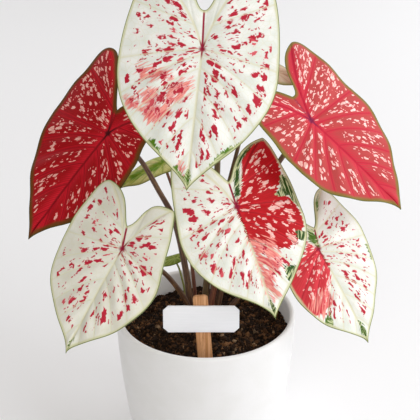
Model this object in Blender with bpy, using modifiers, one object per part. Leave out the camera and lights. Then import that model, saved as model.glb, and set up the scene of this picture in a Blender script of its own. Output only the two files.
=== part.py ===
"""A caladium in a plain white ceramic pot, with a wooden stake that carries a bare label.

Sizes are in millimetres and are turned into Blender's metres by MM. The origin is the middle of the
pot's flat base, +Z is up, and the plant is seen from the front, from -Y.
"""

import math
from collections import namedtuple

import bmesh
import bpy
from mathutils import Matrix, Vector, noise

MM = 0.001
GAP = 0.3  # left between two pieces that touch

# Pot: a turned shape that narrows towards its base
POT_HEIGHT = 125.0
POT_RIM_RADIUS = 70.5
POT_BASE_RADIUS = 56.0
POT_TAPER_POWER = 1.7
POT_WALL = 4.4
POT_FLOOR = 7.0
POT_FOOT_ROUND = 4.0
POT_STEPS = 48
POT_SIDE_POINTS = 6

# Soil: fills the pot to a little under the rim
SOIL_EDGE_HEIGHT = 107.0
SOIL_CROWN_HEIGHT = 110.5
SOIL_LUMP = 2.2
SOIL_LUMP_SIZE = 9.0
SOIL_RINGS = 8
SOIL_NOISE_SHIFT = 31.0
SOIL_EDGE_BAND = 5.0  # the pot's bends this close under the soil's edge are left out of its side

# Tuber: the flattened root stock that the leaf stalks rise from
TUBER_RADIUS = 20.0
TUBER_HALF_HEIGHT = 12.0
TUBER_CENTRE_HEIGHT = 101.0
TUBER_SEGMENTS = 20
TUBER_RINGS = 10
STALK_DEPTH = 6.0  # how far a stalk's foot stands in the tuber's hole
STALK_UPRIGHT = 2.0  # how far it rises straight out of the hole
HOLE_SIDES = 12
HOLE_RISE = 12.0  # how far the cutters of the holes reach over the tuber

# Stake and label
STAKE_WIDTH = 11.2
STAKE_THICKNESS = 2.4
STAKE_LENGTH = 104.0
STAKE_POINT = 12.0
STAKE_TIP_HALF_WIDTH = 1.5
STAKE_CORNER = 2.6
STAKE_TOP = (-4.0, -50.0, 168.5)
STAKE_LEAN = 4.0  # degrees, the top towards -X
LABEL_WIDTH = 57.0
LABEL_HEIGHT = 22.6
LABEL_THICKNESS = 1.6
LABEL_CHAMFER = 3.8
LABEL_CENTRE = (-3.2, 149.4)  # across and up

# Leaf blades: thickness, relief and the net of faces
BLADE_THICKNESS = 0.8
RIB_RELIEF = 0.012  # how far the ribs stand out of the back, over the length
PUFF = 0.016  # the swelling between two side veins, over the length
GROOVE_WIDTH = 8.0
LARGE_LEAF = 60.0
FIRST_VEIN_DROP = 0.10  # where the lowest lobe vein meets the edge, over the length
VEIN_SWEEP = 0.75
LOBE_SWEEP = 1.2
VEIN_BOW = 0.08
LOBE_VEIN_BOW = (0.3, 0.62)  # where the lobe vein's curve is drawn to, over the lobe's size
EDGE_SAMPLES = 36

STALK_SIDES_LEVEL = 2
STALK_STEPS_PER_SPAN = 3
STALK_LEAD = 7.0  # the longest straight end of a stalk, square to its blade

# Rows and columns of the net of faces on one half of a blade
Net = namedtuple("Net", "lobe_rows midrib_rows columns sinus_columns")
LARGE_NET = Net(8, 12, 4, 3)
SMALL_NET = Net(4, 6, 3, 2)

# One half of a blade's outline, as distances from the stalk's joint: across from the midrib, and
# along it with the lobes positive. The handles are the lengths of the curves' tangents.
Side = namedtuple(
    "Side",
    "width widest lobe_across lobe_up below above outward inward tip_across tip_up sinus_across sinus_up",
)
# How the blade is bent out of its plane: the groove along the midrib, the fall of the sides, tip
# and lobes, and the height and number of the waves of its edge.
Bend = namedtuple("Bend", "groove camber tip_fall lobe_fall wave waves")
# heading is the compass direction of the tip (0 is -Y, 90 is +X), slope the angle at which the
# midrib hangs, and roll a turn about the midrib.
Leaf = namedtuple(
    "Leaf",
    "name colour joint heading slope roll length sinus left right bend stalk foot route radius stalk_colour",
)

WHITE_LEAF = "E9EBE2"
RED_LEAF = "B3202A"
STALK_BROWN = "54331F"
STALK_RED = "6B3524"
STALK_OLIVE = "6E5A33"
STALK_GREEN = "7A7B34"

LEAVES = [
    Leaf(
        "blade_front_white", WHITE_LEAF, (-2, -25, 353), -10.5, 52.0, -6, 100, (-2, 29),
        Side(59, -13, 43, 57, 51, 18, 10, 36, 7, 18, 8, -1),
        Side(55, -15, 31, 64, 44, 21, 19, 27, 8, 16, 8, 0),
        Bend(2, 7, 8, 7, 1.2, 4),
        "stalk_front_white", (-2, 5), ((3, 13, 170), (9, 20, 241), (6, 10, 300)), (3.0, 1.7), STALK_OLIVE,
    ),
    Leaf(
        "blade_left_red", RED_LEAF, (-73, 13, 272), -59.0, 42.5, -25, 99.5, (-7, 18),
        Side(56, 23, 53, 55, 80, 9, 16, 13, 19, 32, 9, 7),
        Side(37.5, -29, 20, 27.5, 32.5, 8, 9, 8, 5, 17, 2, 18),
        Bend(2, 6, 8, 6, 1.2, 5),
        "stalk_left_red", (-11, 1), ((-15, 5, 155), (-24, 12, 198), (-36, 14, 224), (-51, 14, 252)),
        (2.9, 1.5), STALK_BROWN,
    ),
    Leaf(
        "blade_right_red", RED_LEAF, (78, 0, 288), 72.5, 38.5, 31, 95, (5, 22),
        Side(38, -20, 18, 41, 42, 2, 17, 19, 2, 17, 5, 14),
        Side(49, -14, 47, 48, 36, 22, 15, 32, 25, 28, 9, -5),
        Bend(2, 6, 8, 6, 1.2, 5),
        "stalk_right_red", (7, 4), ((15, 10, 150), (37, 20, 210), (57, 14, 250)), (2.8, 1.6), STALK_BROWN,
    ),
    Leaf(
        "blade_low_left_white", WHITE_LEAF, (-59.5, -66, 216.5), -47.5, 47.0, -19, 85, (-6, 16),
        Side(49, -7, 40, 40, 54, 18, 9, 21, 8, 21, 6, 5),
        Side(39, -17, 17, 42, 41, 10, 6, 26, -1, 10, 9, 7),
        Bend(2, 6, 7, 6, 1.2, 4),
        "stalk_low_left_white", (-12, -7), ((-14, -7, 134), (-24, -15, 158), (-37, -32, 183)),
        (2.4, 1.5), STALK_BROWN,
    ),
    Leaf(
        "blade_centre_white_and_red", WHITE_LEAF, (23, -30, 232), 35.5, 53.5, 19, 87, (1, 20),
        Side(48, -12, 30, 50, 47, 12, 7, 19, 6, 22, 4, 5),
        Side(48, -21, 38, 43, 29, 0, 7, 28, 4, 11, 5, 0),
        Bend(2, 7, 7, 5, 1.2, 4),
        "stalk_centre_white_and_red", (1, -6), ((7, -4, 150), (17, -9, 190)), (2.8, 1.6), STALK_RED,
    ),
    Leaf(
        "blade_low_right_white_and_red", WHITE_LEAF, (85, -20, 192), 50.0, 49.0, 19, 81, (6, 15),
        Side(35, -20, 8, 31, 38, 27, 17, 10, 2, 12, 6, 6),
        Side(44, -5, 34, 39, 43, 9, 2, 18, 5, 14, 8, 4),
        Bend(2, 6, 7, 5, 1.2, 4),
        "stalk_low_right_white_and_red", (11, -5), ((21, -4, 133), (43, -4, 158), (67, -8, 177)),
        (2.4, 1.5), STALK_BROWN,
    ),
    Leaf(
        "blade_back_left_olive", "A39A62", (-33, 45, 232.5), -72.0, 18.0, 0, 52, (0, 9),
        Side(17, -6, 10, 22, 24, 10, 6, 7, 3, 12, 3, 5),
        Side(14, -6, 8, 20, 24, 10, 5, 6, 3, 12, 2, 5),
        Bend(1.5, 3, 4, 2, 0.8, 3),
        "stalk_back_left_olive", (-7, 12), ((-12, 26, 160), (-22, 38, 200)), (1.7, 1.1), STALK_RED,
    ),
    Leaf(
        "blade_back_right_tan", "D9B795", (40, 48, 313), 66.0, 10.0, 8, 50, (0, 9),
        Side(13, -5, 8, 19, 24, 10, 5, 5, 3, 11, 2, 5),
        Side(13, -5, 8, 19, 24, 10, 5, 5, 3, 11, 2, 5),
        Bend(1.5, 3, 4, 2, 0.8, 3),
        "stalk_back_right_tan", (4, 13), ((10, 32, 180), (26, 44, 250)), (2.0, 1.3), STALK_OLIVE,
    ),
    Leaf(
        "blade_small_green", "7C8A2C", (-24, 20, 161.5), -80.0, 12.0, 0, 22, (0, 3),
        Side(7.5, -4, 3.5, 7, 10, 4, 3, 2.5, 2, 5, 1, 2),
        Side(7.5, -4, 3.5, 7, 10, 4, 3, 2.5, 2, 5, 1, 2),
        Bend(0.6, 1, 2, 0.5, 0.3, 2),
        "stalk_small_green", (-15, 6), ((-16, 11, 132), (-20, 17, 150)), (1.0, 0.7), STALK_GREEN,
    ),
]


def clear_scene():
    for obj in list(bpy.data.objects):
        bpy.data.objects.remove(obj, do_unlink=True)


def new_collection(name):
    collection = bpy.data.collections.new(name)
    bpy.context.scene.collection.children.link(collection)
    return collection


def linear(hex_colour):
    """A hex sRGB colour as Blender's linear values."""
    values = [int(hex_colour[i : i + 2], 16) / 255 for i in (0, 2, 4)]
    return [v / 12.92 if v <= 0.04045 else ((v + 0.055) / 1.055) ** 2.4 for v in values] + [1.0]


def add_material(obj, hex_colour, roughness):
    material = bpy.data.materials.new(obj.name)
    material.use_nodes = True
    shader = material.node_tree.nodes["Principled BSDF"]
    shader.inputs["Base Color"].default_value = linear(hex_colour)
    shader.inputs["Roughness"].default_value = roughness
    shader.inputs["Metallic"].default_value = 0.0
    obj.data.materials.append(material)


def object_from_bmesh(name, bm, collection):
    mesh = bpy.data.meshes.new(name)
    bm.to_mesh(mesh)
    bm.free()
    obj = bpy.data.objects.new(name, mesh)
    collection.objects.link(obj)
    return obj


def mesh_from(obj, collection):
    """A welded mesh object in the place of a curve or of an object with modifiers."""
    name = obj.name
    graph = bpy.context.evaluated_depsgraph_get()
    mesh = bpy.data.meshes.new_from_object(obj.evaluated_get(graph))
    place = obj.matrix_world.copy()
    bpy.data.objects.remove(obj, do_unlink=True)
    bm = bmesh.new()
    bm.from_mesh(mesh)
    bmesh.ops.remove_doubles(bm, verts=bm.verts, dist=0.001 * MM)
    bmesh.ops.recalc_face_normals(bm, faces=bm.faces)
    bm.transform(place)
    bm.to_mesh(mesh)
    bm.free()
    solid = bpy.data.objects.new(name, mesh)
    mesh.name = name
    collection.objects.link(solid)
    return solid


def turned(name, profile, steps, collection):
    """A solid turned about Z from (radius, height) points, top of the outer side first."""
    bm = bmesh.new()
    verts = [bm.verts.new((r * MM, 0, z * MM)) for r, z in profile]
    for first, second in zip(verts, verts[1:]):
        bm.edges.new((first, second))
    obj = object_from_bmesh(name, bm, collection)
    screw = obj.modifiers.new("turn", "SCREW")
    screw.steps = steps
    screw.render_steps = steps
    screw.use_merge_vertices = True
    screw.merge_threshold = 0.00001
    return obj


def cut(obj, cutter):
    """A Boolean difference, with its cutter kept as a wire helper."""
    cutter.hide_render = True
    cutter.display_type = "WIRE"
    boolean = obj.modifiers.new(cutter.name, "BOOLEAN")
    boolean.operation = "DIFFERENCE"
    boolean.solver = "EXACT"
    boolean.object = cutter


def smooth(obj, angle):
    obj.data.shade_smooth()
    obj.data.set_sharp_from_angle(angle=math.radians(angle))


def pot_outer_radius(height):
    fall = 1 - height / POT_HEIGHT
    return POT_RIM_RADIUS - (POT_RIM_RADIUS - POT_BASE_RADIUS) * fall**POT_TAPER_POWER


def arc(centre, radius, start, end, count):
    """Points of an arc in the profile's plane, angles in degrees."""
    angles = [math.radians(start + (end - start) * i / count) for i in range(count + 1)]
    return [(centre[0] + radius * math.cos(a), centre[1] + radius * math.sin(a)) for a in angles]


def side_heights(low, high):
    return [high + (low - high) * i / POT_SIDE_POINTS for i in range(1, POT_SIDE_POINTS)]


def make_pot(collection):
    lip = POT_WALL / 2
    rim = (POT_RIM_RADIUS - lip, POT_HEIGHT - lip)
    foot = (pot_outer_radius(POT_FOOT_ROUND) - POT_FOOT_ROUND, POT_FOOT_ROUND)
    outside = [(pot_outer_radius(z), z) for z in side_heights(POT_FOOT_ROUND, POT_HEIGHT - lip)]
    inside = [(pot_outer_radius(z) - POT_WALL, z) for z in side_heights(POT_FLOOR, POT_HEIGHT - lip)]
    profile = [(0, POT_FLOOR), (pot_outer_radius(POT_FLOOR) - POT_WALL, POT_FLOOR)]
    profile += inside[::-1]
    profile += arc(rim, lip, 180, 0, 6)
    profile += outside
    profile += arc(foot, POT_FOOT_ROUND, 0, -90, 3)
    profile += [(0, 0)]
    pot = turned("pot", profile, POT_STEPS, collection)
    add_material(pot, "ECEAE8", 0.45)
    smooth(pot, 40)
    return pot


def soil_height(x, y):
    """Height of the lumpy soil at a place, in millimetres."""
    edge = pot_outer_radius(SOIL_EDGE_HEIGHT) - POT_WALL
    out = min(1.0, math.hypot(x, y) / edge)
    mound = SOIL_EDGE_HEIGHT + (SOIL_CROWN_HEIGHT - SOIL_EDGE_HEIGHT) * (1 - out**2)
    spot = Vector((x / SOIL_LUMP_SIZE + SOIL_NOISE_SHIFT, y / SOIL_LUMP_SIZE, 0))
    return mound + SOIL_LUMP * noise.noise(spot)


def make_soil(collection):
    top_radius = pot_outer_radius(SOIL_EDGE_HEIGHT) - POT_WALL - GAP
    floor = POT_FLOOR + GAP
    rings = [top_radius * i / SOIL_RINGS for i in range(SOIL_RINGS + 1)]
    profile = [(r, SOIL_EDGE_HEIGHT) for r in rings]
    profile += [
        (pot_outer_radius(z) - POT_WALL - GAP, z) for z in side_heights(POT_FLOOR, POT_HEIGHT - POT_WALL / 2)
        if z < SOIL_EDGE_HEIGHT - SOIL_EDGE_BAND
    ]
    profile += [(pot_outer_radius(POT_FLOOR) - POT_WALL - GAP, floor), (0, floor)]
    soil = mesh_from(turned("soil", profile, POT_STEPS, collection), collection)
    for vertex in soil.data.vertices:
        if vertex.co.z > (SOIL_EDGE_HEIGHT - 0.1) * MM:
            vertex.co.z = soil_height(vertex.co.x / MM, vertex.co.y / MM) * MM
    add_material(soil, "2A1B12", 0.95)
    return soil


def ball(name, radius, half_height, collection):
    bm = bmesh.new()
    bmesh.ops.create_uvsphere(bm, u_segments=TUBER_SEGMENTS, v_segments=TUBER_RINGS, radius=1)
    shape = Matrix.Translation((0, 0, TUBER_CENTRE_HEIGHT * MM))
    shape @= Matrix.Diagonal((radius * MM, radius * MM, half_height * MM, 1))
    bmesh.ops.transform(bm, matrix=shape, verts=bm.verts)
    return object_from_bmesh(name, bm, collection)


def make_tuber(collection):
    tuber = ball("tuber", TUBER_RADIUS, TUBER_HALF_HEIGHT, collection)
    add_material(tuber, "5A4028", 0.9)
    smooth(tuber, 60)
    return tuber


def tuber_top(x, y):
    out = (x * x + y * y) / TUBER_RADIUS**2
    return TUBER_CENTRE_HEIGHT + TUBER_HALF_HEIGHT * math.sqrt(1 - out)


def stalk_hole(leaf, collection):
    """The cutter for the hole that a stalk stands in."""
    radius = (leaf.radius[0] + GAP) / math.cos(math.pi / HOLE_SIDES)
    bottom = tuber_top(*leaf.foot) - STALK_DEPTH - GAP
    top = TUBER_CENTRE_HEIGHT + TUBER_HALF_HEIGHT + HOLE_RISE
    bm = bmesh.new()
    middle = Matrix.Translation((leaf.foot[0] * MM, leaf.foot[1] * MM, (bottom + top) / 2 * MM))
    bmesh.ops.create_cone(
        bm, cap_ends=True, segments=HOLE_SIDES, radius1=radius * MM, radius2=radius * MM,
        depth=(top - bottom) * MM, matrix=middle,
    )
    return object_from_bmesh(leaf.stalk + "_hole", bm, collection)


def flat_outline(name, points, thickness, collection):
    """A closed flat outline in X and Z, extruded along Y about its own middle."""
    curve = bpy.data.curves.new(name, "CURVE")
    curve.dimensions = "2D"
    curve.fill_mode = "BOTH"
    curve.extrude = thickness / 2 * MM
    spline = curve.splines.new("POLY")
    spline.points.add(len(points) - 1)
    for point, (x, z) in zip(spline.points, points):
        point.co = (x * MM, z * MM, 0, 1)
    spline.use_cyclic_u = True
    obj = bpy.data.objects.new(name, curve)
    collection.objects.link(obj)
    return obj


def stake_outline(margin):
    """The stake's outline from its top down, grown by a margin."""
    half = STAKE_WIDTH / 2
    corner = STAKE_CORNER
    top = arc((half - corner, -corner), corner + margin, 0, 90, 4)
    top += arc((corner - half, -corner), corner + margin, 90, 180, 4)
    grown = half + margin
    shoulder = STAKE_POINT - STAKE_LENGTH
    tip = STAKE_TIP_HALF_WIDTH + margin
    bottom = -STAKE_LENGTH - margin
    return top + [(-grown, shoulder), (-tip, bottom), (tip, bottom), (grown, shoulder)]


def stake_place():
    turn = Matrix.Rotation(math.radians(-STAKE_LEAN), 4, "Y")
    upright = Matrix.Rotation(math.radians(90), 4, "X")
    return Matrix.Translation(Vector(STAKE_TOP) * MM) @ turn @ upright


def stood_up(obj, place, collection):
    obj.matrix_world = place
    bpy.context.view_layer.update()
    return mesh_from(obj, collection)


def make_stake(collection, cutters):
    stake = flat_outline("stake", stake_outline(0), STAKE_THICKNESS, collection)
    stake = stood_up(stake, stake_place(), collection)
    add_material(stake, "C58F60", 0.75)
    hole = flat_outline("stake_hole", stake_outline(GAP), STAKE_THICKNESS + 2 * GAP, cutters)
    return stake, stood_up(hole, stake_place(), cutters)


def make_label(collection):
    half_width = LABEL_WIDTH / 2
    half_height = LABEL_HEIGHT / 2
    cut_width = half_width - LABEL_CHAMFER
    cut_height = half_height - LABEL_CHAMFER
    outline = [(half_width, cut_height), (cut_width, half_height)]
    outline += [(-x, z) for x, z in outline[::-1]]
    outline += [(x, -z) for x, z in outline[::-1]]
    label = flat_outline("label", outline, LABEL_THICKNESS, collection)
    front = STAKE_TOP[1] - STAKE_THICKNESS / 2 - GAP - LABEL_THICKNESS / 2
    centre = Vector((LABEL_CENTRE[0], front, LABEL_CENTRE[1]))
    upright = Matrix.Rotation(math.radians(90), 4, "X")
    label = stood_up(label, Matrix.Translation(centre * MM) @ upright, collection)
    add_material(label, "E4E2DF", 0.7)
    return label


def bezier(points, count):
    """Points of one cubic curve, both ends included."""
    first, second, third, fourth = [Vector(p) for p in points]
    made = []
    for i in range(count + 1):
        t = i / count
        u = 1 - t
        made.append(first * u**3 + second * 3 * u * u * t + third * 3 * u * t * t + fourth * t**3)
    return made


def outer_edge(side, length):
    """The blade's edge from the top of its lobe round to the tip."""
    upper = bezier(
        [(side.lobe_across, side.lobe_up), (side.lobe_across + side.outward, side.lobe_up),
         (side.width, side.widest + side.above), (side.width, side.widest)], EDGE_SAMPLES)
    lower = bezier(
        [(side.width, side.widest), (side.width, side.widest - side.below),
         (side.tip_across, side.tip_up - length), (0, -length)], EDGE_SAMPLES)
    return upper + lower[1:]


def sinus_edge(side, sinus):
    """The blade's edge from the top of its lobe down to the bottom of the notch."""
    return bezier(
        [(side.lobe_across, side.lobe_up), (side.lobe_across - side.inward, side.lobe_up),
         (sinus[0] + side.sinus_across, sinus[1] + side.sinus_up), sinus], EDGE_SAMPLES)


def lobe_vein(side):
    """The vein from the top of a lobe down to the joint."""
    top = Vector((side.lobe_across, side.lobe_up))
    bow = Vector((side.lobe_across * LOBE_VEIN_BOW[0], side.lobe_up * LOBE_VEIN_BOW[1]))
    steps = [i / EDGE_SAMPLES for i in range(EDGE_SAMPLES + 1)]
    return [top * (1 - t) ** 2 + bow * 2 * t * (1 - t) for t in steps]


def along(line, fraction):
    """The point of a line of points at a fraction of its length."""
    lengths = [(b - a).length for a, b in zip(line, line[1:])]
    left = fraction * sum(lengths)
    for start, end, size in zip(line, line[1:], lengths):
        if left <= size:
            return start.lerp(end, left / size)
        left -= size
    return line[-1].copy()


def fraction_at_height(line, height):
    """How far along a line its points first fall below a height."""
    lengths = [(b - a).length for a, b in zip(line, line[1:])]
    done = 0.0
    for start, size in zip(line, lengths):
        if start.y < height:
            return done / sum(lengths)
        done += size
    return 1.0


def net_of(leaf):
    return LARGE_NET if leaf.length > LARGE_LEAF else SMALL_NET


def rib_thickness(leaf):
    return BLADE_THICKNESS + RIB_RELIEF * leaf.length


def blade_height(leaf, x, y):
    """How far the bent blade stands out of its plane."""
    half_width = (leaf.left.width + leaf.right.width) / 2
    lobes = (leaf.left.lobe_up + leaf.right.lobe_up) / 2
    height = leaf.bend.groove * (1 - math.exp(-abs(x) / GROOVE_WIDTH))
    height -= leaf.bend.camber * (x / half_width) ** 2
    height -= leaf.bend.tip_fall * (max(0.0, -y) / leaf.length) ** 2
    height -= leaf.bend.lobe_fall * (max(0.0, y) / lobes) ** 2
    return height


def blade_rows(leaf, side):
    """Rows of points from the ribs out to the edge, from the lobe's top to the tip."""
    net = net_of(leaf)
    edge = outer_edge(side, leaf.length)
    vein = lobe_vein(side)
    turn = fraction_at_height(edge, -FIRST_VEIN_DROP * leaf.length)
    rows = []
    for i in range(net.lobe_rows + net.midrib_rows + 1):
        if i < net.lobe_rows:
            root = along(vein, i / net.lobe_rows)
            end = along(edge, turn * (i / net.lobe_rows) ** LOBE_SWEEP)
            forward = Vector((0, 0))
        else:
            part = (i - net.lobe_rows) / net.midrib_rows
            root = Vector((0, -leaf.length * part))
            end = along(edge, turn + (1 - turn) * part**VEIN_SWEEP)
            forward = Vector((0, VEIN_BOW * (end - root).length * min(1, 3 * part)))
        rows.append(row_points(leaf, root, end, forward, i))
    return rows


def row_points(leaf, root, end, forward, row):
    """One row along a side vein, swollen between veins and waved at the edge."""
    net = net_of(leaf)
    total = net.lobe_rows + net.midrib_rows
    points = []
    for j in range(net.columns + 1):
        t = j / net.columns
        flat = root.lerp(end, t) + forward * 4 * t * (1 - t)
        height = blade_height(leaf, flat.x, flat.y)
        height += PUFF * leaf.length * (row % 2) * math.sin(math.pi * t)
        wave = math.sin(2 * math.pi * leaf.bend.waves * row / total) * math.sin(math.pi * row / total)
        height += leaf.bend.wave * wave * t * t
        points.append(Vector((flat.x, flat.y, height)))
    return points


def sinus_rows(leaf, side, sinus):
    """Rows of points from the lobe's vein to the edge of the notch."""
    net = net_of(leaf)
    edge = sinus_edge(side, sinus)
    vein = lobe_vein(side)
    rows = []
    for i in range(net.lobe_rows + 1):
        root = along(vein, i / net.lobe_rows)
        end = along(edge, i / net.lobe_rows)
        row = [root.lerp(end, j / net.sinus_columns) for j in range(net.sinus_columns + 1)]
        rows.append([Vector((p.x, p.y, blade_height(leaf, p.x, p.y))) for p in row])
    return rows


def add_rows(bm, rows, mirror):
    """Triangles between rows, the face side up, and the vertices of the ribs."""
    grid = [[bm.verts.new((p.x * mirror * MM, p.y * MM, p.z * MM)) for p in row] for row in rows]
    for low, high in zip(grid, grid[1:]):
        for j in range(len(low) - 1):
            bm.faces.new((low[j], low[j + 1], high[j + 1]))
            bm.faces.new((low[j], high[j + 1], high[j]))
    return [row[0].co.copy() for row in grid]


def blade_place(leaf):
    """The blade's own frame: X across, Y from the tip to the joint, Z out of its face."""
    heading = math.radians(leaf.heading)
    slope = math.radians(leaf.slope)
    compass = Vector((math.sin(heading), -math.cos(heading), 0))
    up = Vector((0, 0, 1))
    down = compass * math.cos(slope) - up * math.sin(slope)
    face = compass * math.sin(slope) + up * math.cos(slope)
    across = face.cross(down)
    frame = Matrix((across, -down, face)).transposed().to_4x4()
    roll = Matrix.Rotation(math.radians(-leaf.roll), 4, "Y")
    return Matrix.Translation(Vector(leaf.joint) * MM) @ frame @ roll


def make_blade(leaf, collection):
    bm = bmesh.new()
    ribs = []
    for side, mirror in ((leaf.left, -1), (leaf.right, 1)):
        sinus = Vector((leaf.sinus[0] * mirror, leaf.sinus[1]))
        ribs += add_rows(bm, blade_rows(leaf, side), mirror)
        add_rows(bm, sinus_rows(leaf, side, sinus), mirror)
    bmesh.ops.remove_doubles(bm, verts=bm.verts, dist=0.02 * MM)
    bmesh.ops.recalc_face_normals(bm, faces=bm.faces)
    if sum(face.normal.z for face in bm.faces) < 0:
        bmesh.ops.reverse_faces(bm, faces=bm.faces)
    near_rib = [v.index for v in bm.verts if any((v.co - rib).length < 0.05 * MM for rib in ribs)]
    blade = object_from_bmesh(leaf.name, bm, collection)
    group = blade.vertex_groups.new(name="thickness")
    group.add(range(len(blade.data.vertices)), BLADE_THICKNESS / rib_thickness(leaf), "REPLACE")
    group.add(near_rib, 1.0, "REPLACE")
    solidify = blade.modifiers.new("thickness", "SOLIDIFY")
    solidify.thickness = rib_thickness(leaf) * MM
    solidify.offset = -1
    solidify.vertex_group = group.name
    blade.matrix_world = blade_place(leaf)
    add_material(blade, leaf.colour, 0.5)
    smooth(blade, 50)
    return blade


def lead_length(leaf):
    return min(STALK_LEAD, leaf.length / 8)


def smooth_route(points):
    """Points of a smooth curve through the route's own points."""
    ends = [points[0] * 2 - points[1]] + points + [points[-1] * 2 - points[-2]]
    made = []
    for before, start, end, after in zip(ends, ends[1:], ends[2:], ends[3:]):
        for i in range(STALK_STEPS_PER_SPAN):
            t = i / STALK_STEPS_PER_SPAN
            line = start * 2 + (end - before) * t
            line += (before * 2 - start * 5 + end * 4 - after) * t * t
            line += (start * 3 - before - end * 3 + after) * t**3
            made.append(line / 2)
    return made + [points[-1]]


def make_stalk(leaf, collection):
    x, y = leaf.foot
    bottom = tuber_top(x, y) - STALK_DEPTH
    face = blade_place(leaf).to_3x3() @ Vector((0, 0, 1))
    end = Vector(leaf.joint) - face * (rib_thickness(leaf) + GAP)
    straight = [Vector((x, y, bottom)), Vector((x, y, bottom + STALK_DEPTH + STALK_UPRIGHT))]
    points = smooth_route(straight[1:] + [Vector(p) for p in leaf.route] + [end - face * lead_length(leaf)])
    points = straight[:1] + points + [end]
    curve = bpy.data.curves.new(leaf.stalk, "CURVE")
    curve.dimensions = "3D"
    curve.bevel_depth = leaf.radius[0] * MM
    curve.bevel_resolution = STALK_SIDES_LEVEL
    curve.use_fill_caps = True
    spline = curve.splines.new("POLY")
    spline.points.add(len(points) - 1)
    for i, (point, place) in enumerate(zip(spline.points, points)):
        point.co = (*(place * MM), 1)
        point.radius = 1 + (leaf.radius[1] / leaf.radius[0] - 1) * i / (len(points) - 1)
    stalk = bpy.data.objects.new(leaf.stalk, curve)
    collection.objects.link(stalk)
    add_material(stalk, leaf.stalk_colour, 0.6)
    return stalk


def main():
    clear_scene()
    parts = new_collection("caladium")
    cutters = new_collection("cutters")
    make_pot(parts)
    soil = make_soil(parts)
    tuber = make_tuber(parts)
    _, stake_hole = make_stake(parts, cutters)
    make_label(parts)
    cut(soil, ball("tuber_pocket", TUBER_RADIUS + GAP, TUBER_HALF_HEIGHT + GAP, cutters))
    cut(soil, stake_hole)
    for leaf in LEAVES:
        make_blade(leaf, parts)
        make_stalk(leaf, parts)
        hole = stalk_hole(leaf, cutters)
        cut(tuber, hole)
        cut(soil, hole)
    smooth(soil, 50)


main()
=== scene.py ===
"""The looks of a caladium in a white ceramic pot: living leaf tissue with its veins and flecks, juicy
stalks, crumbly soil, a corky tuber, and a wooden stake with a bare card label.

Sizes are in millimetres and are turned into Blender's metres by MM. The origin is the middle of the
pot's flat base, +Z is up, and the plant is seen from the front, from -Y.
"""

import math
from collections import namedtuple
from functools import partial

import bmesh
import bpy
import numpy as np
from mathutils import Euler, Matrix, Vector, noise


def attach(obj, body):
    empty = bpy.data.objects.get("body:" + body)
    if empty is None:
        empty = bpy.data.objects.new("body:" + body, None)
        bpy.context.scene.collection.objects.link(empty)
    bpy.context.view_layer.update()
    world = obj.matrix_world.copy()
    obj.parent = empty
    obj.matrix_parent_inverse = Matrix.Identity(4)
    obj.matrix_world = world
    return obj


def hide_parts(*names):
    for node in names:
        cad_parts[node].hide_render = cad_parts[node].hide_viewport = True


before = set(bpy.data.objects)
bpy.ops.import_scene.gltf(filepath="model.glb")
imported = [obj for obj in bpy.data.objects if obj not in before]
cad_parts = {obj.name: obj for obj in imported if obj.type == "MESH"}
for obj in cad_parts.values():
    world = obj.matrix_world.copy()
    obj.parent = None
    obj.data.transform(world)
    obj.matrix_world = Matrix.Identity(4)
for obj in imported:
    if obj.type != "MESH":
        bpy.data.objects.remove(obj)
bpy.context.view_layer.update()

MM = 0.001
METRE = 1000.0  # over a pattern's size in millimetres, this is its scale
GRAIN = 10.0  # the same on a blade's grain map, which is in centimetres
BODY = "root"

# Pot: a turned shape that narrows towards its base
POT_HEIGHT = 125.0
POT_RIM_RADIUS = 70.5
POT_BASE_RADIUS = 56.0
POT_TAPER_POWER = 1.7
POT_WALL = 4.4
POT_FLOOR = 7.0
POT_FOOT_ROUND = 4.0
POT_WELL_ROUND = 4.0
POT_HOLLOW = 1.2
POT_STEPS = 144
POT_SIDE_POINTS = 40

# Soil
SOIL_EDGE_HEIGHT = 107.0
SOIL_CROWN_HEIGHT = 110.5
SOIL_LUMP = 2.2
SOIL_LUMP_SIZE = 9.0
SOIL_CLOD = 1.6
SOIL_CLOD_SIZE = 2.6
SOIL_NOISE_SHIFT = 31.0
SOIL_RINGS = 44
SOIL_STEPS = 180
# Size, number to the square metre, subdivisions and seed of each kind of crumb
CRUMBS = ((5.6, 28000, 2, 11), (3.4, 130000, 1, 23), (1.9, 420000, 1, 29))
FIBRE_COUNT = 14000
FIBRE_SIZE = 0.45
FIBRE_SEED = 37
# The least and the most stretch of a crumb and of a fibre, and the turns that they may take
CRUMB_FORM = ((0.45, 0.3375, 0.3), (1.35, 0.9, 0.825))
FIBRE_FORM = ((7.0, 0.36, 0.32), (21.0, 0.96, 0.88))
TURNED = ((0, 0, 0), (6.28, 6.28, 6.28))
LYING = ((-0.35, -0.35, 0), (0.35, 0.35, 6.28))

# Tuber
TUBER_RADIUS = 20.0
TUBER_HALF_HEIGHT = 12.0
TUBER_CENTRE_HEIGHT = 101.0
STALK_DEPTH = 6.0
STALK_UPRIGHT = 2.0

# Stake and label
STAKE_WIDTH = 11.2
STAKE_THICKNESS = 2.4
STAKE_LENGTH = 104.0
STAKE_POINT = 12.0
STAKE_TIP_HALF_WIDTH = 1.5
STAKE_CORNER = 2.6
STAKE_TOP = (-4.0, -50.0, 168.5)
STAKE_LEAN = 4.0
STAKE_SOFT_EDGE = 0.35
LABEL_WIDTH = 57.0
LABEL_HEIGHT = 22.6
LABEL_THICKNESS = 1.6
LABEL_CHAMFER = 3.8
LABEL_CENTRE = (-3.2, 149.4)
LABEL_SOFT_EDGE = 0.25
GAP = 0.3

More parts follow.
